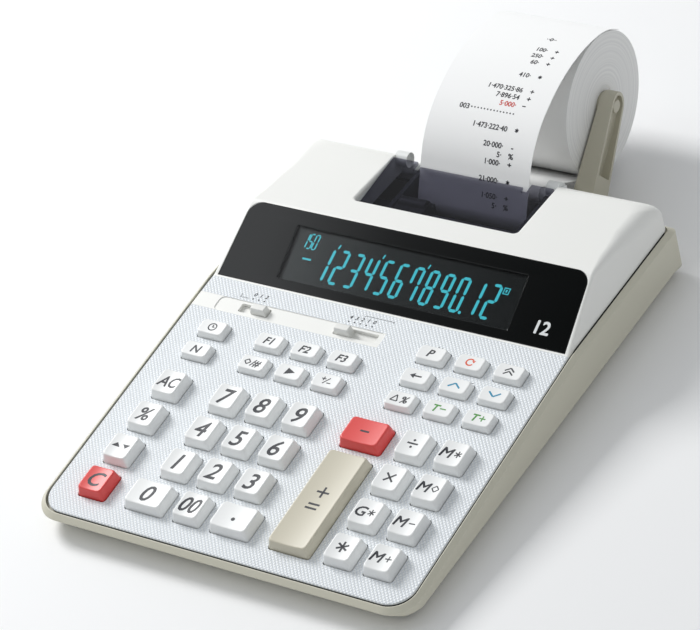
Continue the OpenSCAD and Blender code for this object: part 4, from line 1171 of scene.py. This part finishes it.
# ---------------------------------------------------------------- stage
def stage():
    floor = material("floor", (0.92, 0.92, 0.92), 0.6)
    me = bpy.data.meshes.new("floor")
    a = 6  # metres
    me.from_pydata([(-a, -a, 0), (a, -a, 0), (a, a, 0), (-a, a, 0)], [], [(0, 1, 2, 3)])
    me.materials.append(floor)
    o = bpy.data.objects.new("floor", me)
    bpy.context.scene.collection.objects.link(o)
    w = bpy.data.worlds.new("world")
    bpy.context.scene.world = w
    w.use_nodes = True
    ns, ln = w.node_tree.nodes, w.node_tree.links
    back = ns["Background"]
    tc = ns.new("ShaderNodeTexCoord")
    toward = ns.new("ShaderNodeVectorMath")
    toward.operation = "DOT_PRODUCT"
    toward.inputs[1].default_value = Vector((-0.43, -0.165, 0.888)).normalized()
    ln.new(tc.outputs["Generated"], toward.inputs[0])
    ramp = ns.new("ShaderNodeValToRGB")
    shades = ((0.9, 0.36), (0.985, 1.0), (0.993, 1.0), (0.9965, 0.2), (0.9985, 0.03))  # a dark patch overhead
    for i, (place, grey) in enumerate(shades):
        stop = ramp.color_ramp.elements[i] if i < 2 else ramp.color_ramp.elements.new(place)
        stop.position = place
        stop.color = (0.95 * grey, 0.975 * grey, grey, 1)
    ramp.color_ramp.interpolation = "EASE"
    ln.new(toward.outputs["Value"], ramp.inputs["Fac"])
    ln.new(ramp.outputs["Color"], back.inputs["Color"])
    back.inputs["Strength"].default_value = 1.27

    def area(name, place, size, power, aim=(0, 0, 0.02)):
        li = bpy.data.lights.new(name, "AREA")
        li.shape = "RECTANGLE"
        li.size, li.size_y = size
        li.energy = power
        lo = bpy.data.objects.new(name, li)
        bpy.context.scene.collection.objects.link(lo)
        lo.location = place
        lo.rotation_euler = (Vector(aim) - Vector(place)).to_track_quat("-Z", "Y").to_euler()
    area("key", (-1.25, 0.35, 1.05), (0.6, 0.6), 21)
    area("fill", (1.2, -1.0, 0.9), (1.2, 1.0), 0.6)


def camera():
    cam = bpy.data.cameras.new("camera")
    cam.sensor_width = 36
    cam.sensor_fit = "HORIZONTAL"
    cam.lens = 3185.69 / 700 * cam.sensor_width
    cam.clip_end = 20
    o = bpy.data.objects.new("camera", cam)
    bpy.context.scene.collection.objects.link(o)
    right = Vector((0.8355, 0.5136, -0.1955))
    fwd = Vector((-0.5141, 0.6049, -0.6081)).normalized()
    right = (right - fwd * right.dot(fwd)).normalized()
    up = right.cross(fwd)
    m = Matrix((right, up, -fwd)).transposed().to_4x4()
    m.translation = Vector((716.26, -715.52 + Y0, 893.06)) * MM
    o.matrix_world = m
    bpy.context.scene.camera = o


stage()
camera()
bpy.context.scene.view_settings.view_transform = "Standard"
